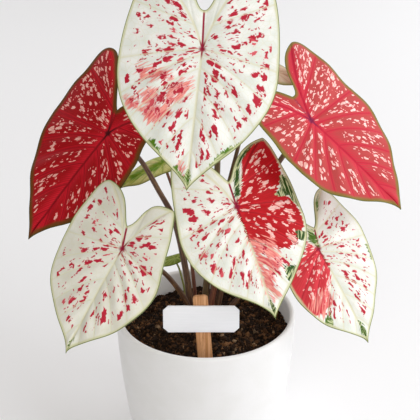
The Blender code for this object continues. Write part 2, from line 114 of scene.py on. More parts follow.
# Leaf blades
BLADE_THICKNESS = 0.8
EDGE_THICKNESS = 0.45
RIB_RELIEF = 0.012
RIB_WIDTH = 1.6
RIB_TAPER = 0.7
VEIN_RELIEF = 0.45
VEIN_GROOVE = 0.3
VEIN_WIDTH = 0.9
PUFF = 0.016
GROOVE_WIDTH = 8.0
LARGE_LEAF = 60.0
FIRST_VEIN_DROP = 0.10
CAD_VEIN_SWEEP = 0.75
CAD_LOBE_SWEEP = 1.2
VEIN_BOW = 0.08
LOBE_VEIN_BOW = (0.3, 0.62)
EDGE_SAMPLES = 90
LOBE_ROOT_POWER = 2.0
LOBE_END_POWER = 1.4
MID_ROOT_POWER = 1.8
MID_END_POWER = 0.8
LOBE_VEINS = 2
MID_VEINS = 6
CAD_LOBE_ROWS = 8
CAD_MIDRIB_ROWS = 12
GRAIN_LINE = 0.65  # where across a half the grain map keeps its true size
NOTCH_GRAIN = 700.0  # how far apart the grids lie on the map, in millimetres and in centimetres
HALF_GRAIN = 30.0

STALK_SIDES = 20
STALK_STEPS_PER_SPAN = 16
CAD_STEPS_PER_SPAN = 3
STALK_LEAD = 7.0

# Floor, camera, and lights: place and size in metres, power in watts, and colour
FLOOR_REACH = 6.0
SKY_STRENGTH = 0.32
CAMERA_PLACE = (0.0034, -0.9425, 0.6922)
CAMERA_DROP = 26.89  # degrees under level
FOCAL_PIXELS = 1390.0  # focal length over the photograph's pixel
PHOTO_WIDTH = 420
SENSOR = 36.0
LIGHT_TARGET = (0, 0, 0.15)
LIGHTS = {
    "window": ((1.1, -0.7, 1.2), 0.9, 10.5, "F8FAFF"),
    "side_panel": ((1.5, 0.2, 0.5), 1.2, 9.5, "F8FAFF"),
    "back_right_panel": ((0.9, 1.3, 0.9), 1.2, 9.6, "F8FAFF"),
    "back_left_panel": ((-1.1, 1.1, 0.8), 1.2, 5.4, "F8FAFF"),
    "front_panel": ((0, -1.8, 0.9), 1.5, 9.8, "FFFDFA"),
    "top_panel": ((0, 0, 2), 1.5, 4.4, "F8FAFF"),
}

Net = namedtuple("Net", "lobe_rows midrib_rows columns sinus_columns")
LARGE_NET = Net(72, 108, 40, 14)
SMALL_NET = Net(28, 42, 18, 8)

Side = namedtuple(
    "Side",
    "width widest lobe_across lobe_up below above outward inward tip_across tip_up sinus_across sinus_up",
)
Bend = namedtuple("Bend", "groove camber tip_fall lobe_fall wave waves")
Leaf = namedtuple(
    "Leaf",
    "name joint heading slope roll length sinus left right bend stalk foot route radius tone stalk_tone"
    " zones",
)
# Colours of a blade: the pale ground and its shade, the vein lines, the red ground and its deep
# shade, the lit red along the veins, the ribs' line on red, flecks on red, the margin, the rim and the
# back. The rest: how red the ground is, how many flecks it has, the noises' seed, the material's name,
# a fleck's cell in millimetres, how far flecks keep from the rib and from the edge, how thickly they lie
# by the notch, and the colours of the stain at the joint, the painted shade in strips along pale veins
# (standing in for the shade beside the raised veins), and the green.
Tone = namedtuple(
    "Tone",
    "slot pale shade vein red deep glow line speck margin rim margin_width back share amount seed title"
    " cell lane clear notch_share stain hollow green pale_green",
)

WHITE = Tone(
    "leaf_white", "F8F8F2", "E7EBE1", "E2DEBC", "C8182A", "8E1016", "DC2A3C", "7E0A14", "FBE3DA",
    "D5D5A6", "6E7B3A", 2.7, "D9DECA", 0.0, 0.58, 3, "caladium leaf tissue, white with crimson flecks",
    (6.2, 8.6), 6.0, 3.6, 0.2, "960E34", "DDE1D3", "527C12", "CBD2A0",
)
RED = WHITE._replace(
    slot="leaf_red", red="C20F1A", deep="8E0C12", glow="D81A2E", line="7A0A12", speck="F8C6BA",
    margin="5A4414", rim="3E4410", margin_width=4.4, back="8E5A4E", share=1.0, amount=0.62, seed=7,
    title="caladium leaf tissue, deep red with pink flecks", cell=(4.0, 6.4), lane=9.0, clear=2.4,
    notch_share=0.5, stain="4A0A10",
)
CORAL_RED = RED._replace(
    red="CA464A", deep="BA4E4A", glow="DA3048", line="C01E3C", speck="FBE0D9", margin="807A3A",
    rim="5E6A26", margin_width=3.4, seed=15, stain="8A2A50", cell=(3.9, 5.6), amount=0.76,
    title="caladium leaf tissue, coral red with white flecks",
)
HALF = WHITE._replace(
    slot="leaf_white_and_red", red="D00E1A", deep="A80C16", glow="D8202C", line="8A0812", cell=(5.8, 8.6),
    speck="F9D6CE", seed=21, amount=0.5, title="caladium leaf tissue, half white and half red",
    green="2A4E12",
)


LEAVES = [
    Leaf(
        "blade_front_white", (-2, -25, 353), -10.5, 52.0, -6, 100, (-2, 29),
        Side(59, -13, 43, 57, 51, 18, 10, 36, 7, 18, 8, -1),
        Side(55, -15, 31, 64, 44, 21, 19, 27, 8, 16, 8, 0),
        Bend(2, 7, 8, 7, 1.2, 4),
        "stalk_front_white", (-2, 5), ((3, 13, 170), (9, 20, 241), (6, 10, 300)), (3.0, 1.7),
        WHITE, "olive",
        {
            "coral": [
                [(-44, -15), (-20, -18), (-18, -24), (-42, -26)],
                [(-20, -28), (-5, -22), (-4, -34), (-22, -44)],
                [(-50, -40), (-30, -32), (-24, -38), (-46, -47)],
                [(-38, -46), (-20, -42), (-16, -50), (-32, -56)],
                [(-9, -84), (-5, -80), (-3, -92), (-6, -92)],
            ],
            "green": [
                [(-36, -69), (-28, -67), (-16, -83), (-20, -86)],
                [(10, -88), (20, -73), (36, -62), (38, -66), (22, -80)],
                [(-12, -86), (-9, -84), (0, -96), (0, -100), (-5, -95)],
                [(-2, -100), (-1, -86), (1, -86), (2, -100)],
            ],
        },
    ),
    Leaf(
        "blade_left_red", (-73, 13, 272), -59.0, 42.5, -25, 99.5, (-7, 18),
        Side(56, 23, 53, 55, 80, 9, 16, 13, 19, 32, 9, 7),
        Side(37.5, -29, 20, 27.5, 32.5, 8, 9, 8, 5, 17, 2, 18),
        Bend(2, 6, 8, 6, 1.2, 5),
        "stalk_left_red", (-11, 1), ((-15, 5, 155), (-24, 12, 198), (-36, 14, 224), (-51, 14, 252)),
        (2.9, 1.5), RED, "brown", {},
    ),
    Leaf(
        "blade_right_red", (78, 0, 288), 72.5, 38.5, 31, 95, (5, 22),
        Side(38, -20, 18, 41, 42, 2, 17, 19, 2, 17, 5, 14),
        Side(49, -14, 47, 48, 36, 22, 15, 32, 25, 28, 9, -5),
        Bend(2, 6, 8, 6, 1.2, 5),
        "stalk_right_red", (7, 4), ((15, 10, 150), (37, 20, 210), (57, 14, 250)), (2.8, 1.6),
        CORAL_RED, "brown", {},
    ),
    Leaf(
        "blade_low_left_white", (-59.5, -66, 216.5), -47.5, 47.0, -19, 85, (-6, 16),
        Side(49, -7, 40, 40, 54, 18, 9, 21, 8, 21, 6, 5),
        Side(39, -17, 17, 42, 41, 10, 6, 26, -1, 10, 9, 7),
        Bend(2, 6, 7, 6, 1.2, 4),
        "stalk_low_left_white", (-12, -7), ((-14, -7, 134), (-24, -15, 158), (-37, -32, 183)),
        # This blade's tissue is WHITE made a little darker and warmer: painted shade for a blade that lies in
        # shade on the left
        (2.4, 1.5), WHITE._replace(pale="EFEEE2", shade="E2E0D0", seed=5), "brown",
        {"green": [[(-1, -72), (1, -72), (2, -87), (0, -87)]]},
    ),
    Leaf(
        "blade_centre_white_and_red", (23, -30, 232), 35.5, 53.5, 19, 87, (1, 20),
        Side(48, -12, 30, 50, 47, 12, 7, 19, 6, 22, 4, 5),
        Side(48, -21, 38, 43, 29, 0, 7, 28, 4, 11, 5, 0),
        Bend(2, 7, 7, 5, 1.2, 4),
        "stalk_centre_white_and_red", (1, -6), ((7, -4, 150), (17, -9, 190)), (2.8, 1.6),
        HALF, "red",
        {
            "red": [
                [
                    (41, 41), (44, 28), (41, 11), (32, 1), (41, -5), (46, -17), (46, -29), (34, -41),
                    (20, -41), (11, -33), (0, -26), (-1, -11), (-1, -1), (5, 7), (10, 17), (16, 32),
                    (25, 40), (34, 43),
                ],
            ],
            "coral": [[(0, -24), (18, -31), (18, -54), (9, -57), (8, -72), (2, -77), (0, -67)]],
            "green": [
                [(4, 20), (13, 38), (23, 44), (36, 44), (41, 41), (26, 40), (16, 32), (5, 7), (1, 8)],
                [(39, 12), (37, 2), (29, -1), (41, -5), (46, -17), (49, -24), (50, -3), (46, 10)],
                [(18, -51), (30, -56), (41, -45), (24, -65), (17, -65)],
                [(37, -31), (45, -34), (43, -41), (35, -38)],
                [(-1, -72), (1, -72), (3, -87), (-3, -87)],
            ],
        },
    ),
    Leaf(
        "blade_low_right_white_and_red", (85, -20, 192), 50.0, 49.0, 19, 81, (6, 15),
        Side(35, -20, 8, 31, 38, 27, 17, 10, 2, 12, 6, 6),
        Side(44, -5, 34, 39, 43, 9, 2, 18, 5, 14, 8, 4),
        Bend(2, 6, 7, 5, 1.2, 4),
        "stalk_low_right_white_and_red", (11, -5), ((21, -4, 133), (43, -4, 158), (67, -8, 177)),
        (2.4, 1.5), HALF._replace(
            red="DE3A44", deep="C43038", glow="E23C4A", seed=27, cell=(4.2, 6.2), amount=0.42, green="4C7220",
        ), "brown",
        {
            "red": [
                [
                    (-6, 9), (0, -1), (2, -13), (-2, -22), (-9, -29), (-13, -41), (-25, -45), (-36, -38),
                    (-40, -20), (-34, -5), (-14, 0),
                ],
            ],
            "coral": [[(-9, -29), (-13, -41), (-25, -45), (-28, -35), (-19, -29)]],
            "green": [
                [(1, 18), (5, 15), (1, 1), (-4, 8)],
                [(-22, -48), (-16, -42), (-18, -50), (-20, -57), (-25, -53)],
                [(40, -15), (43, -22), (38, -28), (38, -22)],
                [(1, -62), (2, -71), (0, -80), (-2, -72)],
                [(17, 29), (29, 37), (22, 31), (10, 18)],
            ],
        },
    ),
    Leaf(
        "blade_back_left_olive", (-33, 45, 232.5), -72.0, 18.0, 0, 52, (0, 9),
        Side(17, -6, 10, 22, 24, 10, 6, 7, 3, 12, 3, 5),
        Side(14, -6, 8, 20, 24, 10, 5, 6, 3, 12, 2, 5),
        Bend(1.5, 3, 4, 2, 0.8, 3),
        "stalk_back_left_olive", (-7, 12), ((-12, 26, 160), (-22, 38, 200)), (1.7, 1.1),
        WHITE._replace(
            slot="leaf_olive", pale="E2DEA0", shade="B0C452", vein="6E9028", margin="A8A85C", hollow="B4C060",
            rim="5A6A20", back="A8A870", amount=0.0, seed=33, title="young caladium leaf tissue, olive",
            green="5E8C0C", pale_green="A8B248",
        ), "red",
        {"green": [[(-6, 16), (6, 16), (5, -30), (0, -50), (-5, -30)]]},
    ),
    Leaf(
        "blade_back_right_tan", (40, 48, 313), 66.0, 10.0, 8, 50, (0, 9),
        Side(13, -5, 8, 19, 24, 10, 5, 5, 3, 11, 2, 5),
        Side(13, -5, 8, 19, 24, 10, 5, 5, 3, 11, 2, 5),
        Bend(1.5, 3, 4, 2, 0.8, 3),
        "stalk_back_right_tan", (4, 13), ((10, 32, 180), (26, 44, 250)), (2.0, 1.3),
        WHITE._replace(
            slot="leaf_tan", pale="FCECD4", shade="F4D8B8", vein="E0BC9C", margin="C8C08A", hollow="E8C4A0",
            rim="8A8A4A", back="D8C0A4", amount=0.0, seed=39, title="young caladium leaf tissue, tan",
        ), "olive", {},
    ),
    Leaf(
        "blade_small_green", (-24, 20, 161.5), -80.0, 12.0, 0, 22, (0, 3),
        Side(7.5, -4, 3.5, 7, 10, 4, 3, 2.5, 2, 5, 1, 2),
        Side(7.5, -4, 3.5, 7, 10, 4, 3, 2.5, 2, 5, 1, 2),
        Bend(0.6, 1, 2, 0.5, 0.3, 2),
        "stalk_small_green", (-15, 6), ((-16, 11, 132), (-20, 17, 150)), (1.0, 0.7),
        WHITE._replace(
            slot="leaf_green", pale="8C9C3C", shade="6E8424", vein="A8B860", margin="7C8A30", hollow="7A8E30",
            rim="56661C", margin_width=1.0, back="98A45C", amount=0.0, seed=45,
            title="seedling caladium leaf tissue, green",
        ), "green", {},
    ),
]

# Colours that every blade shares: coral washes, halos round flecks, red flecks, and pink flecks
CORAL = "DA4A54"
PALE_CORAL = "F4A294"
BLUSH = "F2D2CE"
CRIMSONS = ("A80C28", "CE2A42")
ROSE = "DA5660"
SALMON = "EE9A90"

# Stalk colours: the ground, its streaks, and the record's slot
STALK_TONES = {
    "brown": ("4E3020", "7A5A38", "stalk_brown"),
    "red": ("6B3524", "8A5A3A", "stalk_brown"),
    "olive": ("6E5A33", "4A2E1C", "stalk_brown"),
    "green": ("7A7B34", "98A050", "stalk_green"),
}


# Nodes and colours

# A kind of node: Blender's name for it, its sockets in the order that values are given in, its main
# output, and its settings
Kind = namedtuple("Kind", "node sockets out settings")
MIX = Kind("ShaderNodeMix", (0, 6, 7), 2, {"data_type": "RGBA"})
RANGE = Kind("ShaderNodeMapRange", (0, 1, 2, 3, 4), 0, {})
STEP = RANGE._replace(settings={"interpolation_type": "SMOOTHSTEP"})
TIMES = Kind("ShaderNodeMath", (0, 1, 2), 0, {"operation": "MULTIPLY"})
TIMES_PLUS, PLUS, MINUS, LARGER, SMALLER, OVER, BOUNCE = (
    TIMES._replace(settings={"operation": name})
    for name in ("MULTIPLY_ADD", "ADD", "SUBTRACT", "MAXIMUM", "MINIMUM", "GREATER_THAN", "PINGPONG")
)
VECTOR_TIMES_PLUS, VECTOR_MINUS, VECTOR_SCALE = (
    Kind("ShaderNodeVectorMath", sockets, 0, {"operation": name})
    for name, sockets in (("MULTIPLY_ADD", (0, 1, 2)), ("SUBTRACT", (0, 1)), ("SCALE", (0, "Scale")))
)
NOISE = Kind("ShaderNodeTexNoise", ("Vector", "Scale", "Detail"), 0, {})
CELLS = Kind("ShaderNodeTexVoronoi", ("Vector", "Scale", "Randomness"), 0, {})
STRETCH = Kind("ShaderNodeMapping", (0, "Scale", "Location", "Rotation"), 0, {})
SPLIT_COLOUR = Kind("ShaderNodeSeparateColor", (0,), 0, {})
SPLIT_PLACE = Kind("ShaderNodeSeparateXYZ", (0,), 0, {})
BUMP = Kind("ShaderNodeBump", ("Height", "Strength", "Distance"), 0, {})
OBJECT_OUTPUT = 3
FAC_OUTPUT = 2


def linear(hex_colour):
    """A hex sRGB colour as Blender's linear values."""
    values = [int(hex_colour[i : i + 2], 16) / 255 for i in (0, 2, 4)]
    return [v / 12.92 if v <= 0.04045 else ((v + 0.055) / 1.055) ** 2.4 for v in values] + [1.0]


def add_node(tree, kind, *values, out=0, **settings):
    """Adds a node and gives one of its outputs, or the node where out is None. A kind from above takes
    its sockets' values and links in order, and any other node takes a dict of them."""
    if isinstance(kind, Kind):
        links = dict(zip(kind.sockets, values))
        settings = {**kind.settings, **settings}
        out = kind.out if out == 0 else out
        kind = kind.node
    else:
        links = dict(*values)
    made = tree.nodes.new(kind)
    for name, value in settings.items():
        setattr(made, name, value)
    for name, value in links.items():
        socket = made.inputs[name]
        if isinstance(value, bpy.types.NodeSocket):
            tree.links.new(value, socket)
        else:
            socket.default_value = linear(value) if socket.type == "RGBA" else value
    return made if out is None else made.outputs[out]


def new_material(title, roughness, specular=0.5):
    """A material, the function that adds its nodes, and the place in its piece."""
    material = bpy.data.materials.new(title)
    material.use_nodes = True
    shader = material.node_tree.nodes["Principled BSDF"]
    shader.inputs["Roughness"].default_value = roughness
    shader.inputs["Specular IOR Level"].default_value = specular
    add = partial(add_node, material.node_tree)
    return material, add, add("ShaderNodeTexCoord", out=OBJECT_OUTPUT)


def covered(material, colour, height=None, strength=0, depth=0, roughness=None):
    """The material with its colour, the fine relief of a pattern's height, and a patterned roughness."""
    tree = material.node_tree
    bump = add_node(tree, BUMP, height, strength, depth) if height else None
    for name, link in (("Base Color", colour), ("Normal", bump), ("Roughness", roughness)):
        if link:
            tree.links.new(link, tree.nodes["Principled BSDF"].inputs[name])
    return material


def object_from_mesh(name, mesh):
    obj = bpy.data.objects.new(name, mesh)
    bpy.context.scene.collection.objects.link(obj)
    return obj


def piece(shape, name, sharp_angle, node, material):
    """Makes a bmesh or a mesh the finished piece that stands in for a node of the CAD."""
    mesh = shape
    if isinstance(shape, bmesh.types.BMesh):
        mesh = bpy.data.meshes.new(name)
        shape.to_mesh(mesh)
        shape.free()
    mesh.shade_smooth()
    mesh.set_sharp_from_angle(angle=math.radians(sharp_angle))
    mesh.materials.append(material)
    made = object_from_mesh(name, mesh)
    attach(made, BODY)
    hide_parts(node)
    return made


# Leaf blades: outlines and nets


def bezier(points, count=EDGE_SAMPLES):
    p = np.array(points, float)
    t = np.linspace(0, 1, count + 1)[:, None]
    u = 1 - t
    return p[0] * u**3 + 3 * p[1] * u * u * t + 3 * p[2] * u * t * t + p[3] * t**3


def outer_edge(side, length):
    upper = bezier([
        (side.lobe_across, side.lobe_up), (side.lobe_across + side.outward, side.lobe_up),
        (side.width, side.widest + side.above), (side.width, side.widest),
    ])
    lower = bezier([
        (side.width, side.widest), (side.width, side.widest - side.below),
        (side.tip_across, side.tip_up - length), (0, -length),
    ])
    return np.vstack([upper, lower[1:]])


def sinus_edge(side, sinus):
    return bezier([
        (side.lobe_across, side.lobe_up), (side.lobe_across - side.inward, side.lobe_up),
        (sinus[0] + side.sinus_across, sinus[1] + side.sinus_up), sinus,
    ])


def lobe_vein(side):
    """The vein from the joint up to the top of a lobe."""
    top = np.array([side.lobe_across, side.lobe_up])
    bow = top * LOBE_VEIN_BOW
    t = np.linspace(0, 1, EDGE_SAMPLES + 1)[:, None]
    return 2 * bow * t * (1 - t) + top * t * t


def along(line, fractions):
    steps = np.linalg.norm(np.diff(line, axis=0), axis=1)
    done = np.concatenate([[0], np.cumsum(steps)])
    places = np.asarray(fractions) * done[-1]
    return np.stack([np.interp(places, done, line[:, 0]), np.interp(places, done, line[:, 1])], -1)


def fraction_at_height(line, height):
    steps = np.linalg.norm(np.diff(line, axis=0), axis=1)
    done = np.concatenate([[0], np.cumsum(steps)])
    return done[np.argmax(line[:, 1] < height)] / done[-1]


def distance_to(points, line):
    """The distance from each point to a line of points."""
    best = np.full(len(points), 1e9)
    for start, end in zip(line[:-1], line[1:]):
        step = end - start
        size = step @ step
        if size == 0:
            continue
        share = np.clip((points - start) @ step / size, 0, 1)
        gap = points - start - share[:, None] * step
        best = np.minimum(best, np.einsum("ij,ij->i", gap, gap))
    return np.sqrt(best)


def depth_inside(points, outlines):
    """How far each point is inside the nearest of some closed outlines, negative outside."""
    depth = np.full(len(points), -50.0)
    for outline in outlines:
        ring = np.array(list(outline) + [outline[0]], float)
        inside = np.zeros(len(points), bool)
        for (x0, y0), (x1, y1) in zip(ring[:-1], ring[1:]):
            crosses = (y0 > points[:, 1]) != (y1 > points[:, 1])
            if y0 != y1:
                inside ^= crosses & (points[:, 0] < (x1 - x0) * (points[:, 1] - y0) / (y1 - y0) + x0)
        depth = np.maximum(depth, distance_to(points, ring) * np.where(inside, 1, -1))
    return depth


def blade_height(leaf, x, y):
    half_width = (leaf.left.width + leaf.right.width) / 2
    lobes = (leaf.left.lobe_up + leaf.right.lobe_up) / 2
    height = leaf.bend.groove * (1 - np.exp(-abs(x) / GROOVE_WIDTH))
    height = height - leaf.bend.camber * (x / half_width) ** 2
    height = height - leaf.bend.tip_fall * (np.maximum(0, -y) / leaf.length) ** 2
    return height - leaf.bend.lobe_fall * (np.maximum(0, y) / lobes) ** 2


def net_of(leaf):
    return LARGE_NET if leaf.length > LARGE_LEAF else SMALL_NET


def rib_thickness(leaf):
    return BLADE_THICKNESS + RIB_RELIEF * leaf.length


def half_rows(leaf, side):
    """Where the rows of one half start on the ribs and end on the edge, and their vein numbers."""
    net = net_of(leaf)
    edge = outer_edge(side, leaf.length)
    turn = fraction_at_height(edge, -FIRST_VEIN_DROP * leaf.length)
    up = np.linspace(1, 0, net.lobe_rows + 1)
    part = np.linspace(0, 1, net.midrib_rows + 1)[1:]
    root = np.vstack([
        along(lobe_vein(side), up**LOBE_ROOT_POWER),
        np.stack([0 * part, -leaf.length * part**MID_ROOT_POWER], -1),
    ])
    share = np.concatenate([
        turn * (1 - up) ** LOBE_END_POWER, turn + (1 - turn) * part**MID_END_POWER,
    ])
    number = np.concatenate([LOBE_VEINS * (1 - up), LOBE_VEINS + MID_VEINS * part])
    bow = VEIN_BOW * np.concatenate([0 * up, np.minimum(1, 3 * part)])
    cad_row = np.where(
        share < turn,
        CAD_LOBE_ROWS * (np.minimum(share, turn) / turn) ** (1 / CAD_LOBE_SWEEP),
        CAD_LOBE_ROWS
        + CAD_MIDRIB_ROWS * (np.maximum(share - turn, 0) / (1 - turn)) ** (1 / CAD_VEIN_SWEEP),
    )
    cad_part = cad_row / (CAD_LOBE_ROWS + CAD_MIDRIB_ROWS)
    return root, along(edge, share), bow, number, cad_part


def grid_fields(leaf, points, number, across, wave):
    """Heights of a grid of points, rows by columns, and the distance of each point to its vein."""
    run = np.gradient(points, axis=1)
    gap = np.gradient(points, axis=0) / np.maximum(1e-6, np.gradient(number))[:, None, None]
    area = abs(gap[..., 0] * run[..., 1] - gap[..., 1] * run[..., 0])
    spacing = np.clip(area / np.maximum(1e-6, np.linalg.norm(run, axis=-1)), 0.3, 30)
    to_vein = abs((number[:, None] + 0.5) % 1 - 0.5) * spacing
    height = blade_height(leaf, points[..., 0], points[..., 1])
    swell = np.sin(math.pi * number[:, None]) ** 2 * np.sin(math.pi * across)
    height = height + PUFF * leaf.length * swell * np.minimum(1, spacing / 7) + wave
    height = height - VEIN_GROOVE * np.exp(-((to_vein / VEIN_WIDTH) ** 2)) * (1 - across)
    return height, to_vein


def grown(value, start, end):
    """0 up to start and 1 from end, with a smooth rise between them."""
    part = np.clip((value - start) / (end - start), 0, 1)
    return part * part * (3 - 2 * part)


def fleck_share(leaf, point, edge, rib, to_vein, in_lobe):
    """How thickly flecks lie at each point: none along the edge and the main ribs."""
    tone = leaf.tone
    down = np.clip(-point[:, 1] / leaf.length, 0, 1)
    lane = tone.lane * (0.25 + 0.75 * grown(down, 0.02, 0.3))
    share = grown(edge, tone.clear, 2.2 * tone.clear) * grown(rib, 0.4 * lane, lane)
    share *= 1 - 0.9 * tone.share * grown(-to_vein, -2.6, -1.2)
    share *= 1 - 0.35 * grown(down, 0.72, 0.9)
    return share * np.where(in_lobe, tone.notch_share, 1.0)


def half_grids(leaf, side, mirror):
    """The two grids of one half: ribs to edge, and lobe vein to the edge of the notch."""
    net = net_of(leaf)
    sinus = np.array([leaf.sinus[0] * mirror, leaf.sinus[1]], float)
    root, end, bow, number, cad_part = half_rows(leaf, side)
    t = np.linspace(0, 1, net.columns + 1)
    step = end - root
    points = root[:, None] + step[:, None] * t[None, :, None]
    rise = bow * np.linalg.norm(step, axis=1)
    points[..., 1] += rise[:, None] * 4 * t * (1 - t)
    wave = leaf.bend.wave * np.sin(2 * math.pi * leaf.bend.waves * cad_part) * np.sin(math.pi * cad_part)
    across = np.broadcast_to(t, points.shape[:2])
    # The grain map in centimetres: along the veins, and across them where they are two thirds out
    middle = points[:, int(GRAIN_LINE * net.columns)]
    passed = np.concatenate([[0], np.cumsum(np.linalg.norm(np.diff(middle, axis=0), axis=1))])
    reach = np.linalg.norm(step, axis=1)[:, None] * across
    grain = np.stack([np.broadcast_to(passed[:, None], across.shape), reach], -1) / GRAIN
    grids = [(points, number, across, wave[:, None] * t**2, grain)]
    lobe = slice(0, net.lobe_rows + 1)
    s = np.linspace(0, 1, net.sinus_columns + 1)
    notch = along(sinus_edge(side, sinus), np.linspace(0, 1, net.lobe_rows + 1))
    width = notch - root[lobe]
    points = root[lobe, None] + width[:, None] * s[None, :, None]
    across = np.broadcast_to(s, points.shape[:2])
    reach = np.linalg.norm(width, axis=1)[:, None] * across
    rise = np.linalg.norm(root[lobe], axis=1)
    grain = np.stack([NOTCH_GRAIN + reach, np.broadcast_to(rise[:, None], across.shape)], -1) / GRAIN
    grids.append((points, number[lobe], across, 0 * across, grain))
    made = []
    margin = np.vstack([sinus_edge(side, sinus)[::-1], outer_edge(side, leaf.length)[1:]])
    ribs = (lobe_vein(side), np.array([(0, 0), (0, -leaf.length)], float))
    for in_lobe, (points, number, across, wave, grain) in enumerate(grids):
        outward = across * (1 - in_lobe)
        height, to_vein = grid_fields(leaf, points, number, outward, wave)
        if in_lobe:
            to_vein = np.full(across.shape, 9.0)
        flat = points.reshape(-1, 2)
        edge = distance_to(flat, margin)
        rib = np.minimum(distance_to(flat, ribs[0]), distance_to(flat, ribs[1]))
        flat = flat * (mirror, 1)
        place = np.concatenate([flat, height.reshape(-1, 1)], 1)
        zones = {key: depth_inside(flat, leaf.zones.get(key, [])) for key in ("red", "coral", "green")}
        zones["red"] = np.maximum(zones["red"], 100 * leaf.tone.share - 50)
        fields = {
            "edge": edge,
            "rib": rib,
            "to_vein": to_vein.reshape(-1),
            "notch": distance_to(flat, np.array([(0, 0), leaf.sinus], float)),
            "joint": np.linalg.norm(flat, axis=1),
            "flecks": fleck_share(leaf, flat, edge, rib, to_vein.reshape(-1), in_lobe),
            **zones,
        }
        grain = grain.reshape(-1, 2) + ((HALF_GRAIN, 0) if mirror < 0 else (0, 0))
        made.append((place, grain, fields, across.shape, mirror * (1 - 2 * in_lobe)))
    return made


def grid_faces(shape, turn, first):
    """Quads of a grid, the face side up where turn is +1 for a right half's outer grid."""
    rows, columns = shape
    index = first + np.arange(rows * columns).reshape(rows, columns)
    a, b, c, d = index[:-1, :-1], index[1:, :-1], index[1:, 1:], index[:-1, 1:]
    order = (a, b, c, d) if turn > 0 else (a, d, c, b)
    return np.stack(order, -1).reshape(-1, 4)


def blade_place(leaf):
    heading = math.radians(leaf.heading)
    slope = math.radians(leaf.slope)
    compass = Vector((math.sin(heading), -math.cos(heading), 0))
    up = Vector((0, 0, 1))
    down = compass * math.cos(slope) - up * math.sin(slope)
    face = compass * math.sin(slope) + up * math.cos(slope)
    across = face.cross(down)
    turn = Matrix((across, -down, face)).transposed().to_4x4()
    roll = Matrix.Rotation(math.radians(-leaf.roll), 4, "Y")
    return Matrix.Translation(Vector(leaf.joint) * MM) @ turn @ roll


def make_blade(leaf):
    places, veins, fields, quads = [], [], [], []
    first = 0
    for side, mirror in ((leaf.left, -1), (leaf.right, 1)):
        for place, vein, field, shape, turn in half_grids(leaf, side, mirror):
            places.append(place)
            veins.append(vein)
            fields.append(field)
            quads.append(grid_faces(shape, turn, first))
            first += len(place)
    place = np.vstack(places)
    vein = np.vstack(veins)
    field = {key: np.concatenate([f[key] for f in fields]) for key in fields[0]}
    quads = np.vstack(quads)
    keys = np.rint(place * 1000 + 0.137).astype(np.int64)
    _, keep, merged = np.unique(keys, axis=0, return_index=True, return_inverse=True)
    merged = merged.reshape(-1)
    count = len(keep)
    top = place[keep]
    field = {key: values[keep] for key, values in field.items()}
    faces, corners = [], []
    for quad in quads:
        face, corner = [], []
        for old in quad:
            new = merged[old]
            if new not in face:
                face.append(int(new))
                corner.append(old)
        if len(face) > 2:
            faces.append(face)
            corners.append(corner)
    relief = RIB_RELIEF * leaf.length * np.exp(-((field["rib"] / RIB_WIDTH) ** 2))
    relief *= 1 - RIB_TAPER * np.clip(field["joint"] / leaf.length, 0, 1)
    vein_relief = VEIN_RELIEF * np.exp(-((field["to_vein"] / VEIN_WIDTH) ** 2))
    relief += vein_relief * np.clip(field["edge"] / 12, 0, 1)
    body = EDGE_THICKNESS + (BLADE_THICKNESS - EDGE_THICKNESS) * np.clip(field["edge"] / 6, 0, 1)
    bottom = top - np.stack([0 * body, 0 * body, body + relief], -1)
    seen = dict.fromkeys(edge for face in faces for edge in zip(face, face[1:] + face[:1]))
    rim = [edge for edge in seen if (edge[1], edge[0]) not in seen]
    all_faces = faces + [[v + count for v in face[::-1]] for face in faces]
    all_faces += [[b, a, a + count, b + count] for a, b in rim]
    mesh = bpy.data.meshes.new(leaf.name + "_tissue")
    mesh.from_pydata(np.vstack([top, bottom]) * MM, [], all_faces)
    vertex_vein = np.zeros((count, 2))
    vertex_vein[merged] = vein
    loop_vein = [vein[old] for corner in corners for old in corner]
    loop_vein += [vein[old] for corner in corners for old in corner[::-1]]
    loop_vein += [vertex_vein[v] for a, b in rim for v in (b, a, a, b)]
    layer = mesh.uv_layers.new(name="grain")
    layer.data.foreach_set("uv", np.array(loop_vein, np.float32).reshape(-1))
    field["under"] = np.zeros(count)
    for key, values in field.items():
        both = np.concatenate([values, values if key != "under" else np.ones(count)])
        attribute = mesh.attributes.new(key, "FLOAT", "POINT")
        attribute.data.foreach_set("value", both.astype(np.float32))
    mesh.transform(blade_place(leaf))
    mesh.validate()
    piece(mesh, mesh.name, 60, leaf.name, blade_material(leaf))


# Leaf blades: living tissue


